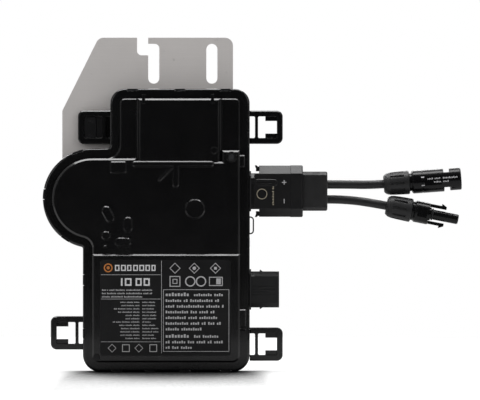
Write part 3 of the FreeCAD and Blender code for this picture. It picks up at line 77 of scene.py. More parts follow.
# ---- Lamps and world, in metres ----
# Each soft box: name, place, the point it faces, width, height and radiance.
LAMPS = [
    ("overhead_box", (0.03, 0.0, 1.15), (0.03, 0.0, 0.1), 1.3, 0.42, 6.5),
    ("rear_box", (0.03, 0.95, 0.70), (0.03, 0, 0.05), 1.3, 0.40, 4.0),
    ("left_box", (-1.1, -1.3, 0.75), (0, 0, 0.12), 0.6, 0.9, 1.7),
    ("right_box", (1.2, -1.3, 0.75), (0.05, 0, 0.12), 0.6, 0.9, 1.7),
]
FILL_STRENGTH = 0.58                # of the world's even light
ROOM_TURN = (-0.35, 0.90)           # the direction's y between which the reflected room goes from dim to bright
ROOM_STRENGTH = (0.015, 0.9)        # in front of the object, and behind it

# ---- Floor, in metres ----
FLOOR_RADIUS = 0.62                 # beyond it the background is as white
FLOOR_DROP = 0.0002                 # below the object's lowest point
SHADOW_REACH = 0.36                 # how far the occlusion looks for the object
SHADOW_LEAN = (0.6, 0.8)            # y and z of the direction in which it looks: up and back
SHADE_RANGE = (0.36, 0.86)          # occlusion that becomes black and white
SHADE_POWER = 2.6
SHADE_SIDES = (0.045, 0.082)        # to each side, where the shade begins to fade and where it is gone
FLOOR_GREYS = (0.02, 0.38)          # under the lamps, in full shade and in the open
FLOOR_GLOW = 0.64                   # added for the camera, so that the open floor is white

# ---- Leads: the cables' route points in the CAD source, in metres. Only the positive one's third point differs:
# it lies 4.5 mm further back along the nut's axis, so that the nut clears the lead as it backs off. ----
LEAD_DIAMETER = 0.0065
POSITIVE_ROUTE = [(0.1207, 0.00255, 0.1404), (0.1362, 0.00255, 0.1404), (0.15482, 0.00455, 0.13999),
                  (0.17776, 0.00455, 0.14164)]
NEGATIVE_ROUTE = [(0.1207, 0.00255, 0.1292), (0.1357, 0.00255, 0.1292), (0.15921, 0.00055, 0.12563),
                  (0.17934, 0.00055, 0.12176)]
# The wide connector: where its nut starts, and how far it tips up, in degrees.
SOCKET_FRAME = ((0.1633, 0.00455, 0.1406), 4.1)
SOCKET_RADIUS = 8.7                 # millimetres, as are the next
SOCKET_FLAT = (30.5, 43.0, 8.0)     # where the flat on its front starts and ends, and how far out it lies

# ---- Shading and print ----
SMOOTH_ANGLE = 28                   # degrees; edges sharper than this stay crisp
FLOW_CONTRAST = 0.04                # how much a moulding's roughness wanders
COAT_ROUGHNESS = 0.07
HANDLING_MARKS = 0.35               # how dark the marks on brushed metal are
PRINT_LIFT = 0.00004                # metres between a face and the ink on it
TICK_PITCH = 0.86                   # of a row of ticks, as a share of its height
TICK_WIDTH = 0.66                   # of one tick, as a share of the pitch
WORD_GAP = 0.8                      # between two groups, in pitches
TICK_HEIGHTS = (1.0, 0.72, 0.72, 1.0, 0.72, 0.86, 0.72)    # shares of the row's height, in turn
ALONG_X, UP_Z = (1, 0, 0), (0, 0, 1)

# ---- Colours, linear ----
WHITE_PRINT = (0.74, 0.74, 0.75)
DIM_PRINT = (0.50, 0.50, 0.51)
WARM_PRINT = (0.30, 0.27, 0.20)
AMBER_PRINT = (0.55, 0.19, 0.035)


# ---------------------------------------------------------------- camera, floor and light
def camera():
    """A long lens at half the height of the object, square to its front."""
    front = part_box("front_shell")[0].y
    data = bpy.data.cameras.new("camera")
    data.sensor_width = SENSOR_WIDTH
    data.lens = SENSOR_WIDTH * CAMERA_DISTANCE / VIEW_WIDTH
    data.clip_start, data.clip_end = 0.05, 50
    made = bpy.data.objects.new("camera", data)
    made.location = (CAMERA_CENTRE[0], front - CAMERA_DISTANCE, CAMERA_CENTRE[1])
    made.rotation_euler = (math.radians(90), 0, 0)
    bpy.context.collection.objects.link(made)
    bpy.context.scene.camera = made


def area_light(name, place, aim, width, height, radiance):
    """A soft box of that size in metres. Its power follows from its radiance."""
    data = bpy.data.lights.new(name, "AREA")
    data.shape = "RECTANGLE"
    data.size, data.size_y = width, height
    data.energy = radiance * math.pi * width * height
    made = bpy.data.objects.new(name, data)
    made.location = place
    made.rotation_euler = (Vector(aim) - Vector(place)).to_track_quat("-Z", "Y").to_euler()
    made.visible_camera = False
    bpy.context.collection.objects.link(made)


def lamps():
    """A strong narrow box overhead draws the bright lines on the edges, one behind rims the object, and two dim
    ones fill the front. The floor's shade isn't theirs: floor() makes it."""
    for lamp in LAMPS:
        area_light(*lamp)


def colour_sockets(sockets):
    return [socket for socket in sockets if socket.type == "RGBA"]


def calculated(nodes, links, operation, first, second=None):
    """A Math node's result. first is a socket, and second a socket, a number or nothing."""
    node = nodes.new("ShaderNodeMath")
    node.operation = operation
    links.new(first, node.inputs[0])
    if isinstance(second, float):
        node.inputs[1].default_value = second
    elif second is not None:
        links.new(second, node.inputs[1])
    return node.outputs[0]


def ranged(nodes, links, value, source, target=(0.0, 1.0), smooth=False):
    """value goes from target[0] to target[1] as it goes from source[0] to source[1]."""
    node = nodes.new("ShaderNodeMapRange")
    node.inputs["From Min"].default_value, node.inputs["From Max"].default_value = source
    node.inputs["To Min"].default_value, node.inputs["To Max"].default_value = target
    if smooth:
        node.interpolation_type = "SMOOTHSTEP"
    links.new(value, node.inputs["Value"])
    return node.outputs[0]


def axis_value(nodes, links, coordinates, axis):
    """One axis of the shader's own coordinates, such as Object or Generated."""
    place = nodes.new("ShaderNodeTexCoord")
    split = nodes.new("ShaderNodeSeparateXYZ")
    links.new(place.outputs[coordinates], split.inputs[0])
    return split.outputs[axis]


def world():
    """White behind the object for what the camera sees, and a dim room in front of it for reflections."""
    made = bpy.data.worlds.new("studio")
    made.use_nodes = True
    bpy.context.scene.world = made
    tree = made.node_tree
    nodes, links = tree.nodes, tree.links
    nodes.clear()
    out = nodes.new("ShaderNodeOutputWorld")
    depth = axis_value(nodes, links, "Generated", "Y")

    def background(strength):
        node = nodes.new("ShaderNodeBackground")
        node.inputs["Color"].default_value = (1, 1, 1, 1)
        if isinstance(strength, float):
            node.inputs["Strength"].default_value = strength
        else:
            links.new(strength, node.inputs["Strength"])
        return node.outputs[0]

    def mixed(factor, a, b):
        node = nodes.new("ShaderNodeMixShader")
        for socket, target in zip((factor, a, b), node.inputs):
            links.new(socket, target)
        return node.outputs[0]

    room = background(ranged(nodes, links, depth, ROOM_TURN, ROOM_STRENGTH, smooth=True))
    ray = nodes.new("ShaderNodeLightPath").outputs
    shiny = calculated(nodes, links, "MAXIMUM", ray["Is Glossy Ray"], ray["Is Transmission Ray"])
    seen = mixed(shiny, background(FILL_STRENGTH), room)
    links.new(mixed(ray["Is Camera Ray"], seen, background(1.0)), out.inputs["Surface"])


def floor():
    """A sheet as white as the background, apart from a soft shade at the object's foot. The shade is ambient
    occlusion, which leans back so that it falls forward, and it fades to each side."""
    mesh = bpy.data.meshes.new("floor")
    shape = bmesh.new()
    bmesh.ops.create_circle(shape, cap_ends=True, segments=96, radius=FLOOR_RADIUS)
    shape.to_mesh(mesh)
    shape.free()
    made = bpy.data.objects.new("floor", mesh)
    made.location = (0, 0, cad_box[0].z - FLOOR_DROP)
    bpy.context.collection.objects.link(made)
    paint = bpy.data.materials.new("floor_paper")
    paint.use_nodes = True
    nodes, links = paint.node_tree.nodes, paint.node_tree.links
    nodes.clear()
    out = nodes.new("ShaderNodeOutputMaterial")
    corner = nodes.new("ShaderNodeAmbientOcclusion")
    corner.inputs["Distance"].default_value = SHADOW_REACH
    corner.samples = 8
    lean = nodes.new("ShaderNodeCombineXYZ")
    lean.inputs["Y"].default_value, lean.inputs["Z"].default_value = SHADOW_LEAN
    links.new(lean.outputs[0], corner.inputs["Normal"])
    open_sky = ranged(nodes, links, corner.outputs["AO"], SHADE_RANGE)
    aside = calculated(nodes, links, "ABSOLUTE", axis_value(nodes, links, "Object", "X"))
    fade = ranged(nodes, links, aside, SHADE_SIDES, smooth=True)
    shade = calculated(nodes, links, "POWER", calculated(nodes, links, "MAXIMUM", open_sky, fade), SHADE_POWER)
    tone = nodes.new("ShaderNodeMix")
    tone.data_type = "RGBA"
    for socket, grey in zip(colour_sockets(tone.inputs), FLOOR_GREYS):
        socket.default_value = (grey, grey, grey, 1)
    links.new(shade, tone.inputs["Factor"])
    matt = nodes.new("ShaderNodeBsdfDiffuse")
    links.new(colour_sockets(tone.outputs)[0], matt.inputs["Color"])
    ray = nodes.new("ShaderNodeLightPath").outputs
    lift = calculated(nodes, links, "MULTIPLY", ray["Is Camera Ray"], shade)
    glow = nodes.new("ShaderNodeEmission")
    links.new(calculated(nodes, links, "MULTIPLY", lift, FLOOR_GLOW), glow.inputs["Strength"])
    both = nodes.new("ShaderNodeAddShader")
    links.new(matt.outputs[0], both.inputs[0])
    links.new(glow.outputs[0], both.inputs[1])
    links.new(both.outputs[0], out.inputs["Surface"])
    mesh.materials.append(paint)


# ---------------------------------------------------------------- materials
class Paint:
    """A node material under construction: a Principled shader, with textures in object coordinates in metres."""

    def __init__(self, name, colour, roughness, metallic=0.0):
        self.material = bpy.data.materials.new(name)
        self.material.use_nodes = True
        self.material.diffuse_color = (*colour, 1)
        self.nodes = self.material.node_tree.nodes
        self.links = self.material.node_tree.links
        self.shader = self.nodes["Principled BSDF"]
        self.shader.inputs["Base Color"].default_value = (*colour, 1)
        self.shader.inputs["Roughness"].default_value = roughness
        self.shader.inputs["Metallic"].default_value = metallic
        self.place = self.nodes.new("ShaderNodeTexCoord").outputs["Object"]
        self.normal = None

    def stretched(self, scale):
        """Object coordinates multiplied by a scale along each axis."""
        node = self.nodes.new("ShaderNodeMapping")
        node.inputs["Scale"].default_value = scale
        self.links.new(self.place, node.inputs["Vector"])
        return node.outputs[0]

    def noise(self, scale, detail=3.0, place=None):
        """Noise of about 1 / scale metres."""
        node = self.nodes.new("ShaderNodeTexNoise")
        node.inputs["Scale"].default_value = scale
        node.inputs["Detail"].default_value = detail
        self.links.new(place or self.place, node.inputs["Vector"])
        return node.outputs["Fac"]

    def ramp(self, value, low, high, out_low=0.0, out_high=1.0):
        """value between low and high becomes out_low to out_high."""
        return ranged(self.nodes, self.links, value, (low, high), (out_low, out_high))

    def multiplied(self, a, b):
        return calculated(self.nodes, self.links, "MULTIPLY", a, b)

    def mixed(self, factor, a, b):
        """Colour a where factor is 0 and colour b where it is 1. Each is a colour or a socket."""
        node = self.nodes.new("ShaderNodeMix")
        node.data_type = "RGBA"
        self.links.new(factor, node.inputs["Factor"])
        for target, value in zip(colour_sockets(node.inputs), (a, b)):
            if isinstance(value, tuple):
                target.default_value = (*value, 1)
            else:
                self.links.new(value, target)
        return colour_sockets(node.outputs)[0]

    def worn_and_highlit_edges(self, radius):
        """1 on edges that a hand or a tool rubs, and 0 on flat faces. The paleness it brings is part wear and
        part painted highlight.
        """
        bevel = self.nodes.new("ShaderNodeBevel")
        bevel.samples = 4
        bevel.inputs["Radius"].default_value = radius
        flat = self.nodes.new("ShaderNodeNewGeometry")
        dot = self.nodes.new("ShaderNodeVectorMath")
        dot.operation = "DOT_PRODUCT"
        self.links.new(bevel.outputs[0], dot.inputs[0])
        self.links.new(flat.outputs["Normal"], dot.inputs[1])
        return self.ramp(dot.outputs["Value"], 0.97, 0.80)

    def softened(self, radius):
        """Rounds the sharp edges' shading, as on a moulding."""
        bevel = self.nodes.new("ShaderNodeBevel")
        bevel.samples = 6
        bevel.inputs["Radius"].default_value = radius
        self.normal = bevel.outputs[0]

    def bumped(self, height, distance):
        """Raises the surface by height times distance, in metres."""
        node = self.nodes.new("ShaderNodeBump")
        node.inputs["Distance"].default_value = distance
        node.inputs["Strength"].default_value = 1.0
        self.links.new(height, node.inputs["Height"])
        if self.normal is not None:
            self.links.new(self.normal, node.inputs["Normal"])
        self.normal = node.outputs[0]

    def set(self, name, value):
        """A uniform value on the shader's own socket."""
        self.shader.inputs[name].default_value = value

    def link(self, name, socket):
        self.links.new(socket, self.shader.inputs[name])

    def done(self):
        if self.normal is not None:
            self.links.new(self.normal, self.shader.inputs["Normal"])
        return self.material


def lighter(colour, factor):
    return tuple(min(1.0, c * factor) for c in colour)


def moulded(name, colour, roughness, grain=0.00002, coat=0.0, edge=0.0004, wear_and_highlight=2.6,
            specular=0.5):
    """Moulded plastic: fine grain, faint flow marks and hazy patches, edges painted a little paler as rubbing
    wear and as a painted highlight.
    """
    paint = Paint(name, colour, roughness)
    paint.softened(edge)
    patches = paint.ramp(paint.noise(22.0, 4.0), 0.35, 0.70)
    specks = paint.ramp(paint.noise(1500.0, 2.0), 0.30, 0.75)
    base = paint.mixed(patches, lighter(colour, 0.90), lighter(colour, 1.12))
    # Edges painted paler: part rubbing wear, part a painted highlight along the edges.
    rubbed_and_highlit = paint.multiplied(paint.worn_and_highlit_edges(edge * 1.3), paint.ramp(paint.noise(160.0, 3.0), 0.35, 0.62))
    paint.link("Base Color", paint.mixed(rubbed_and_highlit, base, lighter(colour, wear_and_highlight)))
    hazy = paint.ramp(paint.noise(60.0, 5.0), 0.25, 0.75, roughness - FLOW_CONTRAST, roughness + FLOW_CONTRAST)
    paint.link("Roughness", hazy)
    paint.bumped(paint.noise(40.0, 1.0), 0.00001)
    paint.bumped(specks, grain)
    paint.set("Specular IOR Level", specular)
    paint.set("Coat Weight", coat)
    paint.set("Coat Roughness", COAT_ROUGHNESS)
    return paint.done()


def soft_rubber(name, colour, roughness=0.62):
    """Rubber or a soft jacket: matt, with a dusty bloom and fine pits."""
    paint = Paint(name, colour, roughness)
    bloom = paint.ramp(paint.noise(45.0, 5.0), 0.40, 0.75)
    paint.link("Base Color", paint.mixed(bloom, colour, lighter(colour, 1.7)))
    paint.link("Roughness", paint.ramp(paint.noise(240.0, 3.0), 0.3, 0.7, roughness - 0.08, roughness + 0.12))
    paint.bumped(paint.noise(1800.0, 3.0), 0.00003)
    paint.set("Sheen Weight", 0.15)
    return paint.done()


def brushed(name, colour, roughness, along, metallic=1.0):
    """Rolled and brushed metal: hair-fine lines along one axis, a cloudy tone and a few handling marks."""
    paint = Paint(name, colour, roughness, metallic)
    paint.softened(0.0003)
    hairs = paint.noise(1.0, 4.0, paint.stretched(tuple(28.0 if axis == along else 2600.0 for axis in "XYZ")))
    clouds = paint.ramp(paint.noise(14.0, 4.0), 0.35, 0.70)
    spots = paint.ramp(paint.noise(190.0, 5.0), 0.66, 0.76)
    tone = paint.mixed(clouds, lighter(colour, 0.95), lighter(colour, 1.05))
    tone = paint.mixed(paint.ramp(hairs, 0.35, 0.65, 0.0, 0.35), tone, lighter(colour, 0.93))
    marks = paint.multiplied(spots, clouds)
    paint.link("Base Color", paint.mixed(marks, tone, lighter(colour, 1.0 - HANDLING_MARKS)))
    paint.link("Roughness", paint.ramp(hairs, 0.3, 0.7, roughness - 0.06, roughness + 0.10))
    paint.bumped(hairs, 0.000004)
    return paint.done()


def plated(name, colour, roughness):
    """Plated contacts: bright, with fine turning lines and faint tarnish."""
    paint = Paint(name, colour, roughness, 1.0)
    paint.softened(0.0002)
    tarnish = paint.ramp(paint.noise(320.0, 4.0), 0.45, 0.72)
    paint.link("Base Color", paint.mixed(tarnish, colour, lighter(colour, 0.72)))
    paint.link("Roughness", paint.ramp(paint.noise(900.0, 2.0), 0.3, 0.7, roughness - 0.05, roughness + 0.08))
    return paint.done()


def film(name, colour, roughness):
    """A printed label: smooth film with a faint orange-peel and scuffs."""
    paint = Paint(name, colour, roughness)
    scuffs = paint.ramp(paint.noise(1.0, 5.0, paint.stretched((60.0, 60.0, 420.0))), 0.60, 0.72)
    paint.link("Base Color", paint.mixed(scuffs, colour, lighter(colour, 1.35)))
    paint.link("Roughness", paint.ramp(paint.noise(90.0, 4.0), 0.3, 0.7, roughness - 0.05, roughness + 0.08))
    paint.bumped(paint.noise(700.0, 2.0), 0.000012)
    return paint.done()


def inner(name, colour, roughness, speckle):
    """Parts inside the case: uneven colour and a rough or grainy surface."""
    paint = Paint(name, colour, roughness)
    uneven = paint.ramp(paint.noise(speckle, 4.0), 0.35, 0.70)
    paint.link("Base Color", paint.mixed(uneven, lighter(colour, 0.8), lighter(colour, 1.2)))
    paint.link("Roughness", paint.ramp(uneven, 0.0, 1.0, roughness - 0.06, roughness + 0.10))
    paint.bumped(uneven, 0.00006)
    return paint.done()


def wound(name, colour):
    """Windings: turns of varnished wire side by side."""
    paint = Paint(name, colour, 0.32, 0.85)
    wave = paint.nodes.new("ShaderNodeTexWave")
    wave.bands_direction = "Z"
    wave.inputs["Scale"].default_value = 190.0
    wave.inputs["Distortion"].default_value = 0.6
    paint.links.new(paint.place, wave.inputs["Vector"])
    paint.link("Base Color", paint.mixed(wave.outputs["Fac"], lighter(colour, 0.4), lighter(colour, 1.2)))
    paint.bumped(wave.outputs["Fac"], 0.0002)
    return paint.done()


def smoked(name):
    """The light pipe: smoked clear plastic."""
    paint = Paint(name, (0.05, 0.052, 0.055), 0.12)
    paint.softened(0.0003)
    paint.link("Base Color", paint.mixed(paint.noise(300.0, 3.0), (0.045, 0.047, 0.05), (0.075, 0.078, 0.082)))
    paint.link("Roughness", paint.ramp(paint.noise(200.0, 3.0), 0.3, 0.7, 0.07, 0.20))
    paint.set("Transmission Weight", 0.35)
    paint.set("IOR", 1.49)
    return paint.done()


def ink(name, colour):
    """Screen-printed ink: a flat tone with small breaks and worn spots."""
    paint = Paint(name, colour, 0.55)
    breaks = paint.ramp(paint.noise(1500.0, 3.0), 0.56, 0.70)
    paint.link("Base Color", paint.mixed(breaks, colour, lighter(colour, 0.45)))
    paint.link("Roughness", paint.ramp(breaks, 0.0, 1.0, 0.50, 0.66))
    paint.bumped(paint.noise(900.0, 2.0), 0.00001)
    return paint.done()


def slot_materials():
    """One material for each of the record's slots."""
    return {
        "case_plastic": moulded("case_plastic", (0.0024, 0.0024, 0.0028), 0.24, grain=0.0000015, coat=0.6,
                                edge=0.0007),
        "cover_plastic": moulded("cover_plastic", (0.0075, 0.0075, 0.0085), 0.42, grain=0.00002),
        "seal_rubber": soft_rubber("seal_rubber", (0.010, 0.010, 0.011)),
        "resin": inner("resin", (0.05, 0.05, 0.055), 0.45, speckle=120.0),
        "bracket_steel": brushed("bracket_steel", (0.66, 0.632, 0.617), 0.48, "X", metallic=0.2),
        "screw_steel": brushed("screw_steel", (0.55, 0.55, 0.55), 0.30, "Z"),
        "clip_plastic": moulded("clip_plastic", (0.006, 0.006, 0.007), 0.32, grain=0.00001, coat=0.6),
        "front_label": film("front_label", (0.0050, 0.0050, 0.0057), 0.34),
        "back_label": film("back_label", (0.52, 0.52, 0.51), 0.40),
        "light_pipe": smoked("light_pipe"),
        "port_plastic": moulded("port_plastic", (0.008, 0.008, 0.009), 0.46, grain=0.00001, coat=0.3),
        "pin_metal": plated("pin_metal", (0.72, 0.70, 0.66), 0.22),
        "board_laminate": inner("board_laminate", (0.02, 0.12, 0.05), 0.38, speckle=260.0),
        "ferrite": inner("ferrite", (0.045, 0.045, 0.048), 0.55, speckle=900.0),
        "copper_wire": wound("copper_wire", (0.48, 0.20, 0.09)),
        "capacitor_can": inner("capacitor_can", (0.03, 0.03, 0.05), 0.30, speckle=140.0),
        "film_capacitor_case": inner("film_capacitor_case", (0.45, 0.30, 0.04), 0.42, speckle=220.0),
        "chip_plastic": inner("chip_plastic", (0.022, 0.022, 0.022), 0.50, speckle=1200.0),
        "spreader_metal": brushed("spreader_metal", (0.62, 0.62, 0.62), 0.35, "X"),
        "varistor_coat": inner("varistor_coat", (0.04, 0.11, 0.26), 0.35, speckle=400.0),
        "adapter_plastic": moulded("adapter_plastic", (0.0058, 0.0058, 0.0065), 0.38, grain=0.00001, wear_and_highlight=2.0),
        "overmold_rubber": soft_rubber("overmold_rubber", (0.0085, 0.0085, 0.0092), 0.50),
        "cable_jacket": soft_rubber("cable_jacket", (0.0075, 0.0075, 0.0082), 0.42),
        "connector_plastic": moulded("connector_plastic", (0.0033, 0.0033, 0.0036), 0.24, grain=0.000006,
                                     coat=0.15, wear_and_highlight=2.0, specular=0.25),
    }


def dress(materials, own):
    """Every carried-over node gets its own material or its slot's, and curved faces are shaded smooth."""
    for part in frame["record"]["subparts"]:
        shown = frame["nodes"][part["node"]]
        shown.data.materials.clear()
        shown.data.materials.append(own.get(part["node"], materials[part["material_slot"]]))
        shown.data.shade_smooth()
        crease = shown.modifiers.new("crease", "EDGE_SPLIT")
        crease.split_angle = math.radians(SMOOTH_ANGLE)
        flat = shown.modifiers.new("flat", "WEIGHTED_NORMAL")
        flat.mode = "FACE_AREA"


# ---------------------------------------------------------------- leads
def lead(name, route, node, body, material):
    """A free lead: one smooth spline through the CAD route, as thick as the cable's jacket."""
    data = bpy.data.curves.new(name, "CURVE")
    data.dimensions = "3D"
    data.resolution_u = 24
    data.bevel_depth = LEAD_DIAMETER / 2
    data.bevel_resolution = 10
    data.use_fill_caps = True
    spline = data.splines.new("NURBS")
    spline.points.add(len(route) - 1)
    for point, place in zip(spline.points, route):
        point.co = (*place, 1)
    spline.order_u = 3
    spline.use_endpoint_u = True
    data.materials.append(material)
    made = bpy.data.objects.new(name, data)
    bpy.context.collection.objects.link(made)
    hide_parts(node)
    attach(made, body)
    return made


# ---------------------------------------------------------------- print
class Print:
    """Flat marks of ink on one face. Its places are in millimetres along and up the face."""

    def __init__(self, origin, along, up):
        self.origin, self.along, self.up = Vector(origin), Vector(along), Vector(up)
        self.shape = bmesh.new()

    def corner(self, x, z):
        return self.origin + self.along * (x / 1000) + self.up * (z / 1000)

    def face(self, points):
        self.shape.faces.new([self.shape.verts.new(self.corner(x, z)) for x, z in points])

    def bar(self, x0, z0, x1, z1):
        self.face([(x0, z0), (x1, z0), (x1, z1), (x0, z1)])

    def frame(self, x0, z0, x1, z1, line):
        """A rectangle's outline, with mitred corners."""
        outer = [(x0, z0), (x1, z0), (x1, z1), (x0, z1)]
        inner = [(x0 + line, z0 + line), (x1 - line, z0 + line), (x1 - line, z1 - line), (x0 + line, z1 - line)]
        for i in range(4):
            j = (i + 1) % 4
            self.face([outer[i], outer[j], inner[j], inner[i]])

    def ring(self, x, z, radius, line, sides=40):
        turn = [2 * math.pi * i / sides for i in range(sides + 1)]
        for a, b in zip(turn, turn[1:]):
            self.face([(x + math.cos(t) * r, z + math.sin(t) * r)
                       for t, r in ((a, radius), (b, radius), (b, radius - line), (a, radius - line))])

    def words(self, x0, x1, z, height, lengths):
        """A row of upright ticks in groups of these lengths, as dense as a line of print but with no letters."""
        pitch = height * TICK_PITCH
        x = x0
        for length in lengths:
            for i in range(length):
                if x + pitch > x1:
                    return
                tall = height * TICK_HEIGHTS[(i + length) % len(TICK_HEIGHTS)]
                self.bar(x, z, x + pitch * TICK_WIDTH, z + tall)
                x += pitch
            x += pitch * WORD_GAP

    def lozenge(self, x, z, radius, line):
        """A square's outline, standing on its corner."""
        outer = [(x, z - radius), (x + radius, z), (x, z + radius), (x - radius, z)]
        inner = [(x, z - radius + line), (x + radius - line, z), (x, z + radius - line), (x - radius + line, z)]
        for i in range(4):
            j = (i + 1) % 4
            self.face([outer[i], outer[j], inner[j], inner[i]])

    def made(self, name, material, slot, body):
        printed(self.shape, name, material, body)


def printed(shape, name, material, body):
    """The piece that a bmesh of ink becomes."""
    mesh = bpy.data.meshes.new(name)
    bmesh.ops.recalc_face_normals(shape, faces=shape.faces)
    shape.to_mesh(mesh)
    shape.free()
    mesh.materials.append(material)
    shown = bpy.data.objects.new(name, mesh)
    bpy.context.collection.objects.link(shown)
    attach(shown, body)
    return shown


def front_label_print(white, dim, amber):
    """Generic marks on the rating label: a ringed dot, title blocks, rules, rows of ticks, plain symbols and a
    framed note. None of it is lettering."""
    low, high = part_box("rating_label")
    origin = (low.x, low.y - PRINT_LIFT, low.z)
    wide = (high.x - low.x) * 1000
    badge = Print(origin, ALONG_X, UP_Z)
    badge.ring(6.0, 65.7, 3.3, 0.9)
    badge.ring(6.0, 65.7, 1.2, 1.19)
    badge.made("label_badge", amber, "front_label", "housing")
    title = Print(origin, ALONG_X, UP_Z)
    foot, head = 63.4, 67.9
    for i, width in enumerate((3.4, 3.6, 3.2, 3.5, 3.6, 3.4, 3.0)):
        x = 11.0 + 4.55 * i
        title.frame(x, foot, x + width, head, 0.85)
    foot, head = 52.3, 58.0
    title.bar(15.5, foot, 16.7, head)
    for x, width in ((18.4, 5.0), (26.4, 4.6), (32.4, 4.6)):
        title.frame(x, foot, x + width, head, 1.15)
    title.made("label_title", white, "front_label", "housing")
    rules = Print(origin, ALONG_X, UP_Z)
    line = 0.3
    for z in (60.4, 42.3, 10.4):
        rules.bar(0.6, z, 45.0, z + line)
    rules.bar(45.6, 2.0, 45.6 + line, 71.0)
    rules.frame(47.0, 3.2, wide - 1.2, 49.6, 0.35)
    rules.made("label_rules", dim, "front_label", "housing")
    fine = Print(origin, ALONG_X, UP_Z)
    right = 44.0
    for i, lengths in enumerate(((3, 1, 4, 7, 11, 8), (3, 7, 6, 12, 4, 2), (6, 9, 14))):
        fine.words(1.4, right, 48.6 - 2.5 * i, 1.15, lengths)
    names = ((5, 6, 5), (4, 7, 4), (3, 7, 5, 6), (3, 9, 6), (6, 6), (4, 8), (2, 5, 7, 8), (5, 6, 6), (7, 9),
             (9, 8), (4, 6, 6), (7, 5))
    tall, line_pitch, value_left = 0.95, 2.45, 31.5
    for i, lengths in enumerate(names):
        z = 39.6 - line_pitch * i
        span = (sum(lengths) + WORD_GAP * (len(lengths) - 1)) * 0.82
        fine.words(29.5 - span, 30.0, z, tall, lengths)
        fine.words(value_left, right, z, tall, lengths[:2])
    fine.made("label_fine_rows", dim, "front_label", "housing")
    signs = Print(origin, ALONG_X, UP_Z)
    middle = 65.4
    for x in (55.8, 70.2, 86.0):
        signs.lozenge(x, middle, 4.1, 0.65)
    signs.ring(70.2, middle, 1.3, 1.29, 20)
    signs.bar(85.0, 64.4, 87.0, 66.4)
    signs.frame(51.8, 51.6, 59.8, 59.6, 0.65)
    signs.frame(54.0, 53.8, 57.6, 57.4, 0.55)
    for x in (67.2, 75.2):
        signs.ring(x, 55.6, 3.9, 0.9)
    signs.frame(81.2, 52.2, 91.4, 59.0, 0.6)
    signs.bar(86.6, 53.4, 90.0, 57.8)
    for i, x in enumerate((8.9, 19.2, 28.9, 39.6)):
        if i % 2:
            signs.frame(x - 2.8, 3.0, x + 2.8, 8.6, 0.5)
        else:
            signs.lozenge(x, 5.8, 3.2, 0.5)
    signs.made("label_signs", dim, "front_label", "housing")
    notes = Print(origin, ALONG_X, UP_Z)
    left, right, heading, body_text = 48.9, 93.5, 2.6, 2.0
    # Each: its heading's height, the ticks beside the heading, the next row's height, the drop per row, the rows.
    paragraphs = (
        (44.6, (8, 5), 40.3, 4.25,
         ((7, 2, 10, 2), (4, 12, 6, 3), (10, 3, 4, 2), (9, 4, 8), (10, 4, 2, 3, 2), (6, 9))),
        (13.6, (3, 7), 9.4, 4.1, ((2, 6, 3, 4, 2, 4), (2, 3, 5))),
    )
    for first, beside, second, drop, rows in paragraphs:
        notes.words(left, 68.0, first, heading, (8,))
        notes.words(70.0, right, first, body_text, beside)
        for i, lengths in enumerate(rows):
            notes.words(left, right, second - drop * i, body_text, lengths)
    notes.made("label_notes", dim, "front_label", "housing")


def back_label_print(dark):
    """Generic marks on the serial label: a code square, stripes and two rows of bars."""
    low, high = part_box("serial_label")
    marks = Print((high.x, high.y + PRINT_LIFT, low.z), (-1, 0, 0), UP_Z)
    wide, tall = (high.x - low.x) * 1000, (high.z - low.z) * 1000
    margin, stripe_pitch, row_pitch = 2.5, 1.25, 3.2
    pattern = ("111111101", "100000110", "101110011", "101110101", "100000100", "111111110", "000010011",
               "110101101", "101100011")
    cell = min(wide * 0.30, tall * 0.62) / len(pattern)
    for row, line in enumerate(pattern):
        for column, mark in enumerate(line):
            if mark == "1":
                x, z = margin + cell * column, tall - margin - cell * (row + 1)
                marks.bar(x, z, x + cell * 0.96, z + cell * 0.96)
    x = margin + cell * (len(pattern) + 2)
    widths = (0.6, 0.3, 0.9, 0.3, 0.5, 0.3, 0.3, 0.8, 0.4, 0.9, 0.3, 0.6)
    for i in range(int((wide - x - 3.0) / stripe_pitch)):
        start = x + stripe_pitch * i
        marks.bar(start, tall * 0.52, start + widths[i % len(widths)], tall - margin)
    for i, lengths in enumerate(((6, 8, 5), (9, 4))):
        marks.words(x, wide - 3.0, tall * 0.36 - row_pitch * i, 1.3, lengths)
    marks.made("serial_marks", dark, "back_label", "housing")


def adapter_print(white, warm):
    """Plus and minus on the adapter's front, with a plain ring and an upright row of ticks beside them."""
    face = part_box("adapter_housing")[0].y - PRINT_LIFT
    marks = Print((0.0, face, 0.0), ALONG_X, UP_Z)
    x, plus, minus = 88.2, 141.9, 127.9
    arm, half = 1.7, 0.28
    marks.bar(x - arm, plus - half, x + arm, plus + half)
    marks.bar(x - half, plus + half, x + half, plus + arm)
    marks.bar(x - half, plus - arm, x + half, plus - half)
    marks.bar(x - half, minus - arm, x + half, minus + arm)
    marks.made("polarity_marks", white, "adapter_plastic", "dc_adapter")
    row = Print((0.0806, face, 0.1250), UP_Z, (-1, 0, 0))
    row.words(0.0, 15.0, 0.0, 1.4, (9, 3))
    row.ring(8.2, 9.0, 4.0, 0.6)
    row.made("adapter_row", warm, "adapter_plastic", "dc_adapter")


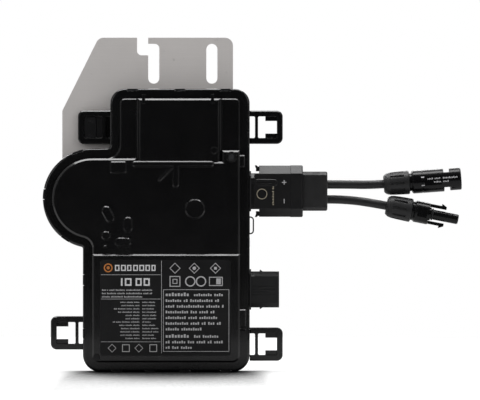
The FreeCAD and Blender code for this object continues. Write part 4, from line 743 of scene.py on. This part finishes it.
def socket_print(white):
    """Two rows of ticks and two short bars on the wide connector's front. Its middle is a shallow flat."""
    start, tilt = SOCKET_FRAME
    lean = math.radians(tilt)
    along = Vector((math.cos(lean), 0, math.sin(lean)))
    up = Vector((-math.sin(lean), 0, math.cos(lean)))
    flat_start, flat_end, flat_depth = SOCKET_FLAT
    shape = bmesh.new()

    def tick(u0, v0, u1, v1):
        corners = []
        for u, v in ((u0, v0), (u1, v0), (u1, v1), (u0, v1)):
            on_flat = flat_start < u < flat_end
            depth = flat_depth if on_flat else math.sqrt(SOCKET_RADIUS ** 2 - v * v)
            place = Vector(start) + along * (u / 1000) + up * (v / 1000)
            corners.append(shape.verts.new(place - Vector((0, depth / 1000 + PRINT_LIFT, 0))))
        shape.faces.new(corners)

    tick_height, tick_width, tick_pitch, group_gap = 1.25, 0.72, 1.12, 0.9
    rows = ((32.6, 1.0, (4, 4)), (44.2, 1.0, (10,)), (37.4, -1.6, (5,)), (44.2, -1.6, (4,)))
    for u, low, lengths in rows:
        for length in lengths:
            for i in range(length):
                tall = tick_height * TICK_HEIGHTS[(i + length) % len(TICK_HEIGHTS)]
                tick(u, low, u + tick_width, low + tall)
                u += tick_pitch
            u += group_gap
    for low in (-3.5, 2.7):
        tick(27.9, low, 30.2, low + 0.8)
    return printed(shape, "socket_marks", white, "dc_adapter")


# ---------------------------------------------------------------- the scene
bpy.context.scene.view_settings.view_transform = "Standard"
camera()
materials = slot_materials()
positive = lead("positive_lead", POSITIVE_ROUTE, "positive_cable", "dc_adapter", materials["cable_jacket"])
negative = lead("negative_lead", NEGATIVE_ROUTE, "negative_cable", "dc_adapter", materials["cable_jacket"])
nut_plastic = moulded("nut_plastic", (0.013, 0.013, 0.0138), 0.46, grain=0.00002, wear_and_highlight=2.2)
dress(materials, {"socket_nut": nut_plastic, "plug_nut": nut_plastic})
white_ink = ink("white_ink", WHITE_PRINT)
dim_ink = ink("dim_ink", DIM_PRINT)
front_label_print(white_ink, dim_ink, ink("amber_ink", AMBER_PRINT))
back_label_print(ink("dark_ink", (0.03, 0.03, 0.03)))
adapter_print(dim_ink, ink("warm_ink", WARM_PRINT))
socket_marks = socket_print(dim_ink)
lamps()
world()
floor()
